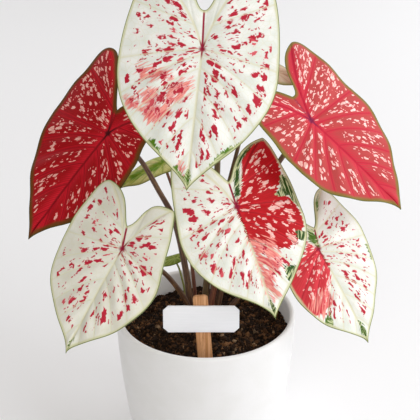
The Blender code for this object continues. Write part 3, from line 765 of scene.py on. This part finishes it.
def blade_material(leaf):
    """Living leaf tissue. The thin wax on it gives a soft, broad sheen, and the colour lies in cells
    between the veins, so flecks and blotches stretch along the veins and have torn edges."""
    tone = leaf.tone
    large = leaf.length > LARGE_LEAF
    material, add, place = new_material(tone.title, 0.5, 0.2 - 0.08 * tone.share)
    grain = add("ShaderNodeUVMap", uv_map="grain")
    names = ("edge", "rib", "to_vein", "notch", "joint", "flecks", "red", "coral", "green", "under")
    field = {n: add("ShaderNodeAttribute", attribute_name=n, out=FAC_OUTPUT) for n in names}
    seed = (tone.seed * 0.37, tone.seed * 0.61, tone.seed * 1.7)

    # Strands of tissue along the veins, finer streaks in them, and an even mottle. The tissue's grain is
    # too fine to show, so its smallest mottle is drawn 1.1 mm wide.
    strand = add(NOISE, add(STRETCH, grain, (GRAIN / 1.333, GRAIN / 9.09, 1), seed), 1.0, 1.0, out=None)
    streak = add(NOISE, add(STRETCH, grain, (GRAIN / 0.714, GRAIN / 3.846, 1), seed), 1.0, 2.0)
    fine = add(NOISE, place, METRE / 1.111, 3.0, out=None)
    broad = add(NOISE, place, METRE / 14.286, 3.0)
    torn = add(RANGE, strand.outputs[0], 0.25, 0.75, -4.5, 4.5)
    wide = add(RANGE, broad, 0.3, 0.7, -1.6, 1.6)
    ragged = add(PLUS, torn, wide)

    def zone(name, sharpness, spread):
        return add(STEP, add(TIMES_PLUS, ragged, spread, field[name]), -sharpness, sharpness)

    red_zone = zone("red", 0.35, 0.45)

    # Vein lines: side veins, the rungs between them 1.7 mm apart, and the net of the finest ones
    side_vein = add(STEP, field["to_vein"], 0.8, 0.2, 0, 0.7)
    lines = add(LARGER, side_vein, add(STEP, field["rib"], 1.3, 0.4))
    rib_glow = add(STEP, field["rib"], 0.9 * tone.lane, 0.5)
    glow = add(TIMES_PLUS, add(STEP, field["to_vein"], 2.6, 0.4), 0.75, rib_glow)
    glow = add(SMALLER, glow, 1.0)
    rung = add(SPLIT_PLACE, add(VECTOR_TIMES_PLUS, strand.outputs[1], (0.06, 0, 0), grain))
    rung = add(STEP, add(BOUNCE, rung, 0.85 / GRAIN), 0.4 / GRAIN, 0.0, 0, 0.7)
    net = add(MIX, 0.15, add(STRETCH, grain, (GRAIN / 2.941, GRAIN / 4.167, 1), seed), fine.outputs[1])
    net = add(CELLS, net, 1.0, feature="DISTANCE_TO_EDGE", voronoi_dimensions="2D")
    net = add(STEP, net, 0.1, 0.0)

    # The pale ground and the red ground, each with its veins, and coral washed along the veins
    pale = add(MIX, add(RANGE, broad, 0.35, 0.65), tone.pale, tone.shade)
    pale = add(MIX, add(TIMES, net, 0.3), pale, tone.vein)
    # Painted shade: the pale ground turns grey-green in a strip along each vein and the rib, standing in for
    # the shade beside the raised veins
    pale = add(MIX, add(TIMES, glow, 0.4), pale, tone.hollow)
    red = add(MIX, streak, tone.red, tone.deep)
    red = add(MIX, add(TIMES, glow, 0.85), red, tone.glow)
    red = add(MIX, rung, red, tone.deep)
    colour = add(MIX, red_zone, pale, red)
    wash = add(NOISE, add(STRETCH, grain, (GRAIN / 3.125, GRAIN / 11.11, 1), seed), 1.0, 3.0)
    wash = add(TIMES, zone("coral", 1.6, 0.9), add(STEP, wash, 0.31, 0.42))
    coral = add(MIX, add(RANGE, strand.outputs[0], 0.35, 0.65), CORAL, PALE_CORAL)
    colour = add(MIX, wash, colour, coral)

    if tone.amount:
        # The strands slide along each other, so that the flecks' ends are torn
        wide_cell, long_cell = tone.cell
        slide = add(VECTOR_MINUS, strand.outputs[1], (0.5, 0.5, 0.5))
        slip = (0.013 * wide_cell, 0.049 * long_cell, 0)
        slid = add(VECTOR_TIMES_PLUS, slide, slip, grain)
        bend = add(VECTOR_MINUS, add(NOISE, place, METRE / 3.846, 1.0, out=1), (0.5, 0.5, 0.5))
        slid = add(VECTOR_TIMES_PLUS, bend, (0.1 * wide_cell, 0.12 * wide_cell, 0), slid)
        uneven = add(RANGE, streak, 0.3, 0.7, -0.1, 0.1)
        # Flecks: one in a cell of the grain map, each with its own size and some with none
        flecks = halos = 0.0
        large_flecks = (1.0, 1 - tone.amount, 0.18, 0.45 - 0.04 * tone.share)
        for finer, least, smallest, biggest in (large_flecks, (2.1, 0.68, 0.1, 0.34)):
            size = (finer * GRAIN / wide_cell, finer * GRAIN / long_cell, 1)
            cell = add(CELLS, add(STRETCH, slid, size, seed), 1.0, 0.85, out=None, voronoi_dimensions="2D")
            chance = add(SPLIT_COLOUR, cell.outputs[1], out=None)
            present = add(OVER, add(TIMES, chance.outputs[0], field["flecks"]), least)
            radius = add(TIMES, add(RANGE, chance.outputs[1], 0, 1, smallest, biggest), present)
            depth = add(MINUS, add(PLUS, radius, uneven), cell.outputs[0])
            flecks = add(LARGER, flecks, add(TIMES, add(STEP, depth, -0.02, 0.05), present))
            halos = add(LARGER, halos, add(TIMES, add(STEP, depth, -0.22, 0.02), present))
        colour = add(MIX, add(TIMES, halos, 0.4), colour, add(MIX, red_zone, BLUSH, tone.glow))
        crimson = add(MIX, add(STEP, broad, 0.6, 0.66), add(MIX, streak, *CRIMSONS), ROSE)
        pink = add(MIX, add(RANGE, streak, 0.35, 0.6), SALMON, tone.speck)
        colour = add(MIX, flecks, colour, add(MIX, red_zone, crimson, pink))

    # Vein lines over the flecks, then the crimson line to the notch and the stain at the joint
    colour = add(MIX, add(TIMES, lines, 0.75), colour, add(MIX, red_zone, tone.vein, tone.line))
    if large:
        star = add(TIMES, add(STEP, field["joint"], 9.0, 3.0), add(STEP, field["rib"], 0.9, 0.3))
        stain = add(LARGER, star, add(STEP, field["joint"], 3.4, 1.0))
        notch_line = add(STEP, field["notch"], 0.95, 0.45, 0, 1 - 0.6 * tone.share)
        colour = add(MIX, add(LARGER, notch_line, stain), colour, tone.stain)

    # Green: mottled patches in layers along the edge, the margin, and the thin rim. The back is paler.
    softness, least, full, layering = (0.5, 0.5, 0.6, 0.008) if large else (1.8, 0.36, 0.7, 0)
    green_zone = add(TIMES_PLUS, add(TIMES_PLUS, torn, 0.4, wide), 0.8, field["green"])
    green_zone = add(STEP, green_zone, -softness, softness)
    layer = add(TIMES, field["edge"], layering)
    mottle = {"Vector": place, "W": layer, "Scale": METRE / 7.143, "Detail": 2.0}
    mottle = add("ShaderNodeTexNoise", mottle, noise_dimensions="4D")
    green = add(MIX, add(STEP, mottle, least, full), tone.green, tone.pale_green)
    colour = add(MIX, green_zone, colour, green)
    border = add(TIMES_PLUS, wide, 0.35, field["edge"])
    border = add(STEP, border, tone.margin_width, 0.3 * tone.margin_width, 0, 0.85)
    colour = add(MIX, border, colour, tone.margin)
    colour = add(MIX, add(STEP, field["edge"], 0.75, 0.25), colour, tone.rim)
    colour = add(MIX, add(TIMES, field["under"], 0.55), colour, tone.back)

    grooves = add(TIMES_PLUS, lines, -0.8, add(TIMES_PLUS, net, -0.5, fine.outputs[0]))
    waxy = add(RANGE, fine.outputs[0], 0, 1, 0.46, 0.62)
    return covered(material, colour, grooves, 0.35, 0.00025, waxy)


# Stalks


def smooth_route(points, steps):
    """Points of a smooth curve through the route's own points, and how far along each one is."""
    ends = [points[0] * 2 - points[1]] + points + [points[-1] * 2 - points[-2]]
    made = []
    for span, (before, start, end, after) in enumerate(zip(ends, ends[1:], ends[2:], ends[3:])):
        for i in range(steps):
            t = i / steps
            line = start * 2 + (end - before) * t
            line += (before * 2 - start * 5 + end * 4 - after) * t * t
            line += (start * 3 - before - end * 3 + after) * t**3
            made.append((line / 2, 1 + CAD_STEPS_PER_SPAN * (span + t)))
    return made + [(points[-1], 1 + CAD_STEPS_PER_SPAN * (len(points) - 1))]


def tuber_top(x, y):
    out = (x * x + y * y) / TUBER_RADIUS**2
    return TUBER_CENTRE_HEIGHT + TUBER_HALF_HEIGHT * math.sqrt(1 - out)


def make_stalk(leaf):
    """A round juicy stalk: wider at its foot, and flared into the ribs."""
    x, y = leaf.foot
    bottom = tuber_top(x, y) - STALK_DEPTH
    face = blade_place(leaf).to_3x3() @ Vector((0, 0, 1))
    end = Vector(leaf.joint) - face * (rib_thickness(leaf) + GAP)
    lead = min(STALK_LEAD, leaf.length / 8)
    straight = [Vector((x, y, bottom)), Vector((x, y, bottom + STALK_DEPTH + STALK_UPRIGHT))]
    points = smooth_route(
        straight[1:] + [Vector(p) for p in leaf.route] + [end - face * lead], STALK_STEPS_PER_SPAN
    )
    count = points[-1][1] + 1
    points = [(straight[0], 0)] + points + [(end - face * 1.0, count - 0.3), (end + face * 0.5, count)]
    bm = bmesh.new()
    layer = bm.verts.layers.float_vector.new("skin")
    rings = []
    side = Vector((1, 0, 0))
    length = 0.0
    for i, (point, index) in enumerate(points):
        after = points[min(i + 1, len(points) - 1)][0]
        before = points[max(i - 1, 0)][0]
        way = (after - before).normalized()
        side = (side - way * side.dot(way)).normalized()
        other = way.cross(side)
        length += (point - before).length if i else 0.0
        radius = leaf.radius[0] + (leaf.radius[1] - leaf.radius[0]) * index / count
        if i == len(points) - 1:
            radius *= 1.25
        ring = []
        for k in range(STALK_SIDES):
            angle = 2 * math.pi * k / STALK_SIDES
            out = side * math.cos(angle) + other * math.sin(angle)
            spot = Vector((math.cos(angle), math.sin(angle), length / 18))
            uneven = noise.noise(spot + Vector(leaf.foot + (0,)))
            place = point + out * radius * (1 + 0.05 * uneven)
            vert = bm.verts.new(place * MM)
            vert[layer] = Vector((math.cos(angle) * radius, math.sin(angle) * radius, length))
            ring.append(vert)
        rings.append(ring)
    for low, high in zip(rings, rings[1:]):
        for k in range(STALK_SIDES):
            n = (k + 1) % STALK_SIDES
            bm.faces.new((low[k], low[n], high[n], high[k]))
    bm.faces.new(rings[0][::-1])
    bm.faces.new(rings[-1])
    ground, streaks, slot = STALK_TONES[leaf.stalk_tone]
    skin = stalk_material(leaf.stalk_tone, ground, streaks)
    piece(bm, leaf.stalk + "_skin", 50, leaf.stalk, skin)


def stalk_material(name, ground, streaks):
    """Living stalk skin: satin, with streaks along it and darker freckles. The streaks are drawn 0.8 mm
    wide, coarser than life, so that they show."""
    title = "caladium stalk skin, " + name
    if title in bpy.data.materials:
        return bpy.data.materials[title]
    material, add, _ = new_material(title, 0.42)
    skin = add("ShaderNodeAttribute", attribute_name="skin", out=1)
    streak = add(NOISE, add(STRETCH, skin, (1 / 0.769, 1 / 0.769, 1 / 14.286)), 1.0, 4.0)
    freckle = add(NOISE, add(STRETCH, skin, (1 / 1.111, 1 / 1.111, 1 / 2.857)), 1.0, 3.0)
    colour = add(MIX, add(STEP, streak, 0.42, 0.66), ground, streaks)
    colour = add(MIX, add(STEP, freckle, 0.55, 0.7, 0, 0.6), colour, "2A160E")
    return covered(material, colour, streak, 0.3, 0.0002)


# Pot


def pot_outer_radius(height):
    fall = 1 - height / POT_HEIGHT
    return POT_RIM_RADIUS - (POT_RIM_RADIUS - POT_BASE_RADIUS) * fall**POT_TAPER_POWER


def arc(centre, radius, start, end, count):
    angles = [math.radians(start + (end - start) * i / count) for i in range(count + 1)]
    return [(centre[0] + radius * math.cos(a), centre[1] + radius * math.sin(a)) for a in angles]


def turned(profile, steps):
    """A closed turned shape from (radius, height) points that start and end on the axis."""
    bm = bmesh.new()
    rings = []
    for r, z in profile:
        angles = [2 * math.pi * k / steps for k in range(steps if r else 1)]
        rings.append([bm.verts.new(Vector((r * math.cos(a), r * math.sin(a), z)) * MM) for a in angles])
    for low, high in zip(rings, rings[1:]):
        for k in range(steps):
            n = (k + 1) % steps
            corners = [low[k % len(low)], low[n % len(low)], high[n % len(high)], high[k % len(high)]]
            bm.faces.new(list(dict.fromkeys(corners)))
    bmesh.ops.recalc_face_normals(bm, faces=bm.faces)
    return bm


def make_pot():
    lip = POT_WALL / 2
    lip_height = POT_HEIGHT - lip
    foot = (pot_outer_radius(POT_FOOT_ROUND) - POT_FOOT_ROUND, POT_FOOT_ROUND)
    well = pot_outer_radius(POT_FLOOR) - POT_WALL - POT_WELL_ROUND

    def wall(low, inset):
        heights = [lip_height + (low - lip_height) * i / POT_SIDE_POINTS for i in range(1, POT_SIDE_POINTS)]
        return [(pot_outer_radius(z) - inset, z) for z in heights]

    profile = [(0, POT_FLOOR), (well, POT_FLOOR)]
    profile += arc((well, POT_FLOOR + POT_WELL_ROUND), POT_WELL_ROUND, -60, 0, 5)
    profile += wall(POT_FLOOR + POT_WELL_ROUND, POT_WALL)[::-1]
    profile += arc((POT_RIM_RADIUS - lip, lip_height), lip, 180, 0, 18)
    profile += wall(POT_FOOT_ROUND, 0)
    profile += arc(foot, POT_FOOT_ROUND, 0, -90, 10)
    profile += [(foot[0] - 5, 0), (foot[0] - 6.5, POT_HOLLOW), (0, POT_HOLLOW)]
    piece(turned(profile, POT_STEPS), "pot_glazed", 40, "pot", pot_material())


def pot_material():
    """Stoneware with a satin white glaze: broad soft highlights over a faint orange peel of 2 mm, and a
    few warm specks where iron in the clay has come through. The ring that it stands on is bare."""
    material, add, place = new_material("satin white glazed stoneware", 0.5)
    cloud = add(NOISE, place, METRE / 22.222, 3.0)
    peel = add(NOISE, place, METRE / 1.923, 2.0)
    colour = add(MIX, add(STEP, cloud, 0.35, 0.65), "EDEDED", "EAEAE9")
    cell = add(CELLS, place, METRE / 6.25, out=None)
    size = add(RANGE, add(SPLIT_COLOUR, cell.outputs[1]), 0.93, 1.0, 0.0, 0.09)
    speck = add(STEP, add(MINUS, size, cell.outputs[0]), 0.0, 0.04, 0, 0.35)
    colour = add(MIX, speck, colour, "B8A68E")
    bare = add(STEP, add(SPLIT_PLACE, place, out=2), 1.6 * MM, 0.8 * MM)
    colour = add(MIX, bare, colour, "CDBFA8")
    return covered(material, colour, peel, 0.12, 0.0004, add(RANGE, cloud, 0, 1, 0.5, 0.56))


# Soil and what is in it


def soil_height(x, y):
    edge = pot_outer_radius(SOIL_EDGE_HEIGHT) - POT_WALL
    out = min(1.0, math.hypot(x, y) / edge)
    mound = SOIL_EDGE_HEIGHT + (SOIL_CROWN_HEIGHT - SOIL_EDGE_HEIGHT) * (1 - out**2)
    spot = Vector((x / SOIL_LUMP_SIZE + SOIL_NOISE_SHIFT, y / SOIL_LUMP_SIZE, 0))
    clod = Vector((x / SOIL_CLOD_SIZE, y / SOIL_CLOD_SIZE, 5.0))
    return mound + SOIL_LUMP * noise.noise(spot) + SOIL_CLOD * abs(noise.noise(clod)) * 1.6


def make_soil():
    def side(height):
        return pot_outer_radius(height) - POT_WALL - GAP

    floor = POT_FLOOR + 0.5
    depths = np.linspace(SOIL_EDGE_HEIGHT - 2, floor + 5.5, 9)
    profile = [(side(SOIL_EDGE_HEIGHT) * i / SOIL_RINGS, SOIL_EDGE_HEIGHT) for i in range(SOIL_RINGS + 1)]
    profile += [(side(z), z) for z in depths] + [(side(POT_FLOOR) - 5 + GAP, floor), (0, floor)]
    bm = turned(profile, SOIL_STEPS)
    for vert in bm.verts:
        if vert.co.z > (SOIL_EDGE_HEIGHT - 0.1) * MM:
            vert.co.z = soil_height(vert.co.x / MM, vert.co.y / MM) * MM
    material = soil_material()
    ground = piece(bm, "soil_ground", 50, "soil", material)
    for i, (size, count, detail, seed) in enumerate(CRUMBS):
        scatter(ground, "soil_crumbs_%d" % i, size, count, detail, seed, CRUMB_FORM, TURNED, material)
    scatter(
        ground, "soil_fibres", FIBRE_SIZE, FIBRE_COUNT, 1, FIBRE_SEED, FIBRE_FORM, LYING, fibre_material()
    )


def scatter(ground, name, size, count, detail, seed, form, turns, material):
    """Crumbs or fibres strewn on the ground's upper side: each a lumpy ball, turned and stretched by
    chance. A tree of nodes makes them, and they're turned into a plain mesh."""
    tree = bpy.data.node_groups.new(name, "GeometryNodeTree")
    add = partial(add_node, tree)
    tree.interface.new_socket("Ground", in_out="INPUT", socket_type="NodeSocketGeometry")
    sockets = {}
    inputs = (("Size", "Float", size * MM), ("Number", "Float", float(count)), ("Seed", "Int", seed))
    for label, kind, value in inputs:
        socket = tree.interface.new_socket(label, in_out="INPUT", socket_type="NodeSocket" + kind)
        sockets[socket.identifier] = value
    tree.interface.new_socket("Crumbs", in_out="OUTPUT", socket_type="NodeSocketGeometry")
    given = add("NodeGroupInput", out=None)
    upper = add(OVER, add(SPLIT_PLACE, add("GeometryNodeInputNormal"), out=2), 0.3)
    spots = {"Mesh": given.outputs[0], "Density": given.outputs[2], "Seed": given.outputs[3]}
    spots = add("GeometryNodeDistributePointsOnFaces", {**spots, "Selection": upper})
    ball = add("GeometryNodeMeshIcoSphere", {"Radius": 0.5, "Subdivisions": detail})
    lumps = add(NOISE, add("GeometryNodeInputPosition"), 2.2, 1.0, out=1)
    push = add(VECTOR_SCALE, add(VECTOR_MINUS, lumps, (0.5, 0.5, 0.5)), 0.55)
    ball = add("GeometryNodeSetPosition", {"Geometry": ball, "Offset": push})

    def chance(step, low, high):
        values = {0: low, 1: high, "Seed": seed + step}
        return add("FunctionNodeRandomValue", values, data_type="FLOAT_VECTOR")

    grow = add(VECTOR_SCALE, chance(2, *form), given.outputs[1])
    placed = {"Points": spots, "Instance": ball, "Rotation": chance(1, *turns), "Scale": grow}
    crumbs = add("GeometryNodeInstanceOnPoints", placed)
    tone = add("FunctionNodeRandomValue", {"Seed": seed + 3}, out=1, data_type="FLOAT")
    crumbs = {"Geometry": crumbs, "Name": "tone", "Value": tone}
    crumbs = add("GeometryNodeStoreNamedAttribute", crumbs, data_type="FLOAT", domain="INSTANCE")
    crumbs = add("GeometryNodeRealizeInstances", {0: crumbs})
    crumbs = add("GeometryNodeSetMaterial", {"Geometry": crumbs, "Material": material})
    add("NodeGroupOutput", {0: crumbs}, out=None)
    holder = object_from_mesh(name + "_source", ground.data.copy())
    modifier = holder.modifiers.new(name, "NODES")
    modifier.node_group = tree
    for identifier, value in sockets.items():
        modifier[identifier] = value
    graph = bpy.context.evaluated_depsgraph_get()
    mesh = bpy.data.meshes.new_from_object(holder.evaluated_get(graph))
    holder.modifiers.remove(modifier)
    bpy.data.objects.remove(holder, do_unlink=True)
    mesh.name = name
    mesh.shade_smooth()
    strewn = object_from_mesh(name, mesh)
    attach(strewn, BODY)


def soil_material():
    """Damp peat-based potting soil: nearly black, dull, with brown crumbs and a few dry pale grains. Its
    grit is too fine to show, so it is drawn 1.4 mm wide."""
    material, add, place = new_material("damp potting soil", 0.9, 0.2)
    tone = add("ShaderNodeAttribute", attribute_name="tone", out=FAC_OUTPUT)
    grit = add(NOISE, place, METRE / 1.4286, 4.0)
    colour = add(MIX, grit, "120A06", "34200F")
    colour = add(MIX, add(STEP, tone, 0.42, 0.85, 0, 0.85), colour, "7A5434")
    colour = add(MIX, add(STEP, tone, 0.96, 0.975), colour, "9C8062")
    damp = add(STEP, add(NOISE, place, METRE / 11.111, 2.0), 0.42, 0.6, 0, 0.6)
    return covered(material, add(MIX, damp, colour, "0E0805"), grit, 0.7, 0.0006)


def fibre_material():
    """Coir fibre and bark slivers in the soil: dry, mid brown and dull, with a grain drawn 1.1 mm wide
    so that it shows."""
    material, add, place = new_material("coir fibre", 0.85)
    tone = add("ShaderNodeAttribute", attribute_name="tone", out=FAC_OUTPUT)
    shade = add(TIMES, add(NOISE, place, METRE / 1.111, 3.0), 0.6)
    return covered(material, add(MIX, shade, add(MIX, tone, "2E1C10", "6E4C30"), "24160C"))


def make_tuber():
    """The flattened root stock, ringed with leaf scars and lumpy with buds."""
    bm = bmesh.new()
    bmesh.ops.create_uvsphere(bm, u_segments=96, v_segments=48, radius=1)
    for vert in bm.verts:
        p = vert.co.copy()
        scar = 0.012 * math.sin(p.z * 34 + 1.5 * noise.noise(p * 2))
        bud = 0.035 * noise.noise(p * 3.1 + Vector((7, 0, 0))) + 0.015 * noise.noise(p * 9)
        p *= 0.985 + scar + bud
        height = p.z * TUBER_HALF_HEIGHT + TUBER_CENTRE_HEIGHT
        vert.co = Vector((p.x * TUBER_RADIUS, p.y * TUBER_RADIUS, height)) * MM
    piece(bm, "tuber_skin", 60, "tuber", tuber_material())


def tuber_material():
    """Cork: dull and rough, in rings 1.4 mm high."""
    material, add, place = new_material("corky tuber skin", 0.88)
    cork = add(STRETCH, place, (METRE / 5.556, METRE / 5.556, METRE / 1.4286))
    cork = add(NOISE, cork, 1.0, 4.0)
    return covered(material, add(MIX, cork, "2E1E14", "6A4A30"), cork, 0.8, 0.0005)


# Stake and label


def plate(outline, thickness, soft_edge, place):
    """A flat outline in X and Z given its thickness along Y and softened edges."""
    bm = bmesh.new()
    half = thickness / 2 * MM
    front = [bm.verts.new((x * MM, -half, z * MM)) for x, z in outline]
    back = [bm.verts.new((x * MM, half, z * MM)) for x, z in outline]
    bm.faces.new(front)
    bm.faces.new(back[::-1])
    count = len(outline)
    for i in range(count):
        n = (i + 1) % count
        bm.faces.new((front[n], front[i], back[i], back[n]))
    bmesh.ops.recalc_face_normals(bm, faces=bm.faces)
    rims = [e for e in bm.edges if abs(e.verts[0].co.y - e.verts[1].co.y) < 1e-9]
    bmesh.ops.bevel(bm, geom=rims, offset=soft_edge * MM, segments=3, profile=0.5, affect="EDGES")
    bm.transform(place)
    return bm


def make_stake():
    half = STAKE_WIDTH / 2
    outline = arc((half - STAKE_CORNER, -STAKE_CORNER), STAKE_CORNER, 0, 90, 8)
    outline += arc((STAKE_CORNER - half, -STAKE_CORNER), STAKE_CORNER, 90, 180, 8)
    shoulder = STAKE_POINT - STAKE_LENGTH
    tip = STAKE_TIP_HALF_WIDTH
    outline += [(-half, shoulder), (-tip, -STAKE_LENGTH), (tip, -STAKE_LENGTH), (half, shoulder)]
    lean = Matrix.Rotation(math.radians(-STAKE_LEAN), 4, "Y")
    place = Matrix.Translation(Vector(STAKE_TOP) * MM) @ lean
    stake = plate(outline, STAKE_THICKNESS, STAKE_SOFT_EDGE, place)
    piece(stake, "stake_wood", 35, "stake", wood_material())


def wood_material():
    """Planed beech, unfinished: warm and dull, with long grain lines and short flecks. The lines are
    drawn 1.4 mm apart, coarser than life, so that they show."""
    material, add, place = new_material("unfinished beech", 0.7)
    lean = (0, math.radians(STAKE_LEAN), 0)
    grain = add(STRETCH, place, (METRE / 1.4286, METRE / 2, METRE / 38.46), (0, 0, 0), lean)
    grain = add(NOISE, grain, 1.0, 4.0)
    fleck = add(STRETCH, place, (METRE / 0.625, METRE / 0.625, METRE / 3.846), (0, 0, 0), lean)
    fleck = add(STEP, add(NOISE, fleck, 1.0, 1.0), 0.6, 0.72, 0, 0.5)
    colour = add(MIX, add(STEP, grain, 0.35, 0.65), "DCA87A", "B67C4A")
    return covered(material, add(MIX, fleck, colour, "8A5830"), grain, 0.4, 0.0002)


def make_label():
    half_width = LABEL_WIDTH / 2
    half_height = LABEL_HEIGHT / 2
    cut_width = half_width - LABEL_CHAMFER
    cut_height = half_height - LABEL_CHAMFER
    outline = [(half_width, cut_height), (cut_width, half_height)]
    outline += [(-x, z) for x, z in outline[::-1]]
    outline += [(x, -z) for x, z in outline[::-1]]
    front = STAKE_TOP[1] - STAKE_THICKNESS / 2 - GAP - LABEL_THICKNESS / 2
    place = Matrix.Translation(Vector((LABEL_CENTRE[0], front, LABEL_CENTRE[1])) * MM)
    label = plate(outline, LABEL_THICKNESS, LABEL_SOFT_EDGE, place)
    piece(label, "label_painted", 35, "label", label_material())


def label_material():
    """Thin board painted white by brush: matt, with faint level strokes 1.1 mm apart."""
    material, add, place = new_material("white painted board", 0.75)
    stroke = add(STRETCH, place, (METRE / 16.667, METRE / 5, METRE / 1.1111))
    stroke = add(NOISE, stroke, 1.0, 3.0)
    cloud = add(TIMES, add(NOISE, place, METRE / 7.143, 2.0), 0.35)
    colour = add(MIX, cloud, add(MIX, stroke, "F7F8FC", "ECEEF2"), "F0F2F6")
    return covered(material, colour, stroke, 0.3, 0.0002)


# Stage: floor, lights and camera


def make_stage():
    bm = bmesh.new()
    bmesh.ops.create_grid(bm, x_segments=2, y_segments=2, size=FLOOR_REACH)
    mesh = bpy.data.meshes.new("floor")
    bm.to_mesh(mesh)
    bm.free()
    floor = object_from_mesh("floor", mesh)
    material = new_material("pale studio paper", 0.95)[0]
    shader = material.node_tree.nodes["Principled BSDF"]
    shader.inputs["Base Color"].default_value = linear("F4F4F4")
    mesh.materials.append(material)
    world = bpy.data.worlds.new("studio")
    bpy.context.scene.world = world
    world.use_nodes = True
    back = world.node_tree.nodes["Background"]
    back.inputs["Color"].default_value = linear("FFF8F0")
    back.inputs["Strength"].default_value = SKY_STRENGTH


def make_light(name, place, size, energy, colour):
    data = bpy.data.lights.new(name, "AREA")
    data.shape = "DISK"
    data.size = size
    data.energy = energy
    data.color = linear(colour)[:3]
    lamp = bpy.data.objects.new(name, data)
    lamp.location = place
    way = Vector(LIGHT_TARGET) - Vector(place)
    lamp.rotation_euler = way.to_track_quat("-Z", "Y").to_euler()
    bpy.context.scene.collection.objects.link(lamp)


def make_camera():
    data = bpy.data.cameras.new("camera")
    data.sensor_width = SENSOR
    data.lens = FOCAL_PIXELS / PHOTO_WIDTH * SENSOR
    data.clip_start = 0.01
    camera = bpy.data.objects.new("camera", data)
    camera.location = CAMERA_PLACE
    camera.rotation_euler = Euler((math.radians(90 - CAMERA_DROP), 0, 0))
    bpy.context.scene.collection.objects.link(camera)
    bpy.context.scene.camera = camera


def main():
    bpy.context.scene.view_settings.view_transform = "Standard"
    make_camera()
    make_stage()
    for name, light in LIGHTS.items():
        make_light(name, *light)
    make_pot()
    make_soil()
    make_tuber()
    make_stake()
    make_label()
    for leaf in LEAVES:
        make_blade(leaf)
        make_stalk(leaf)


main()
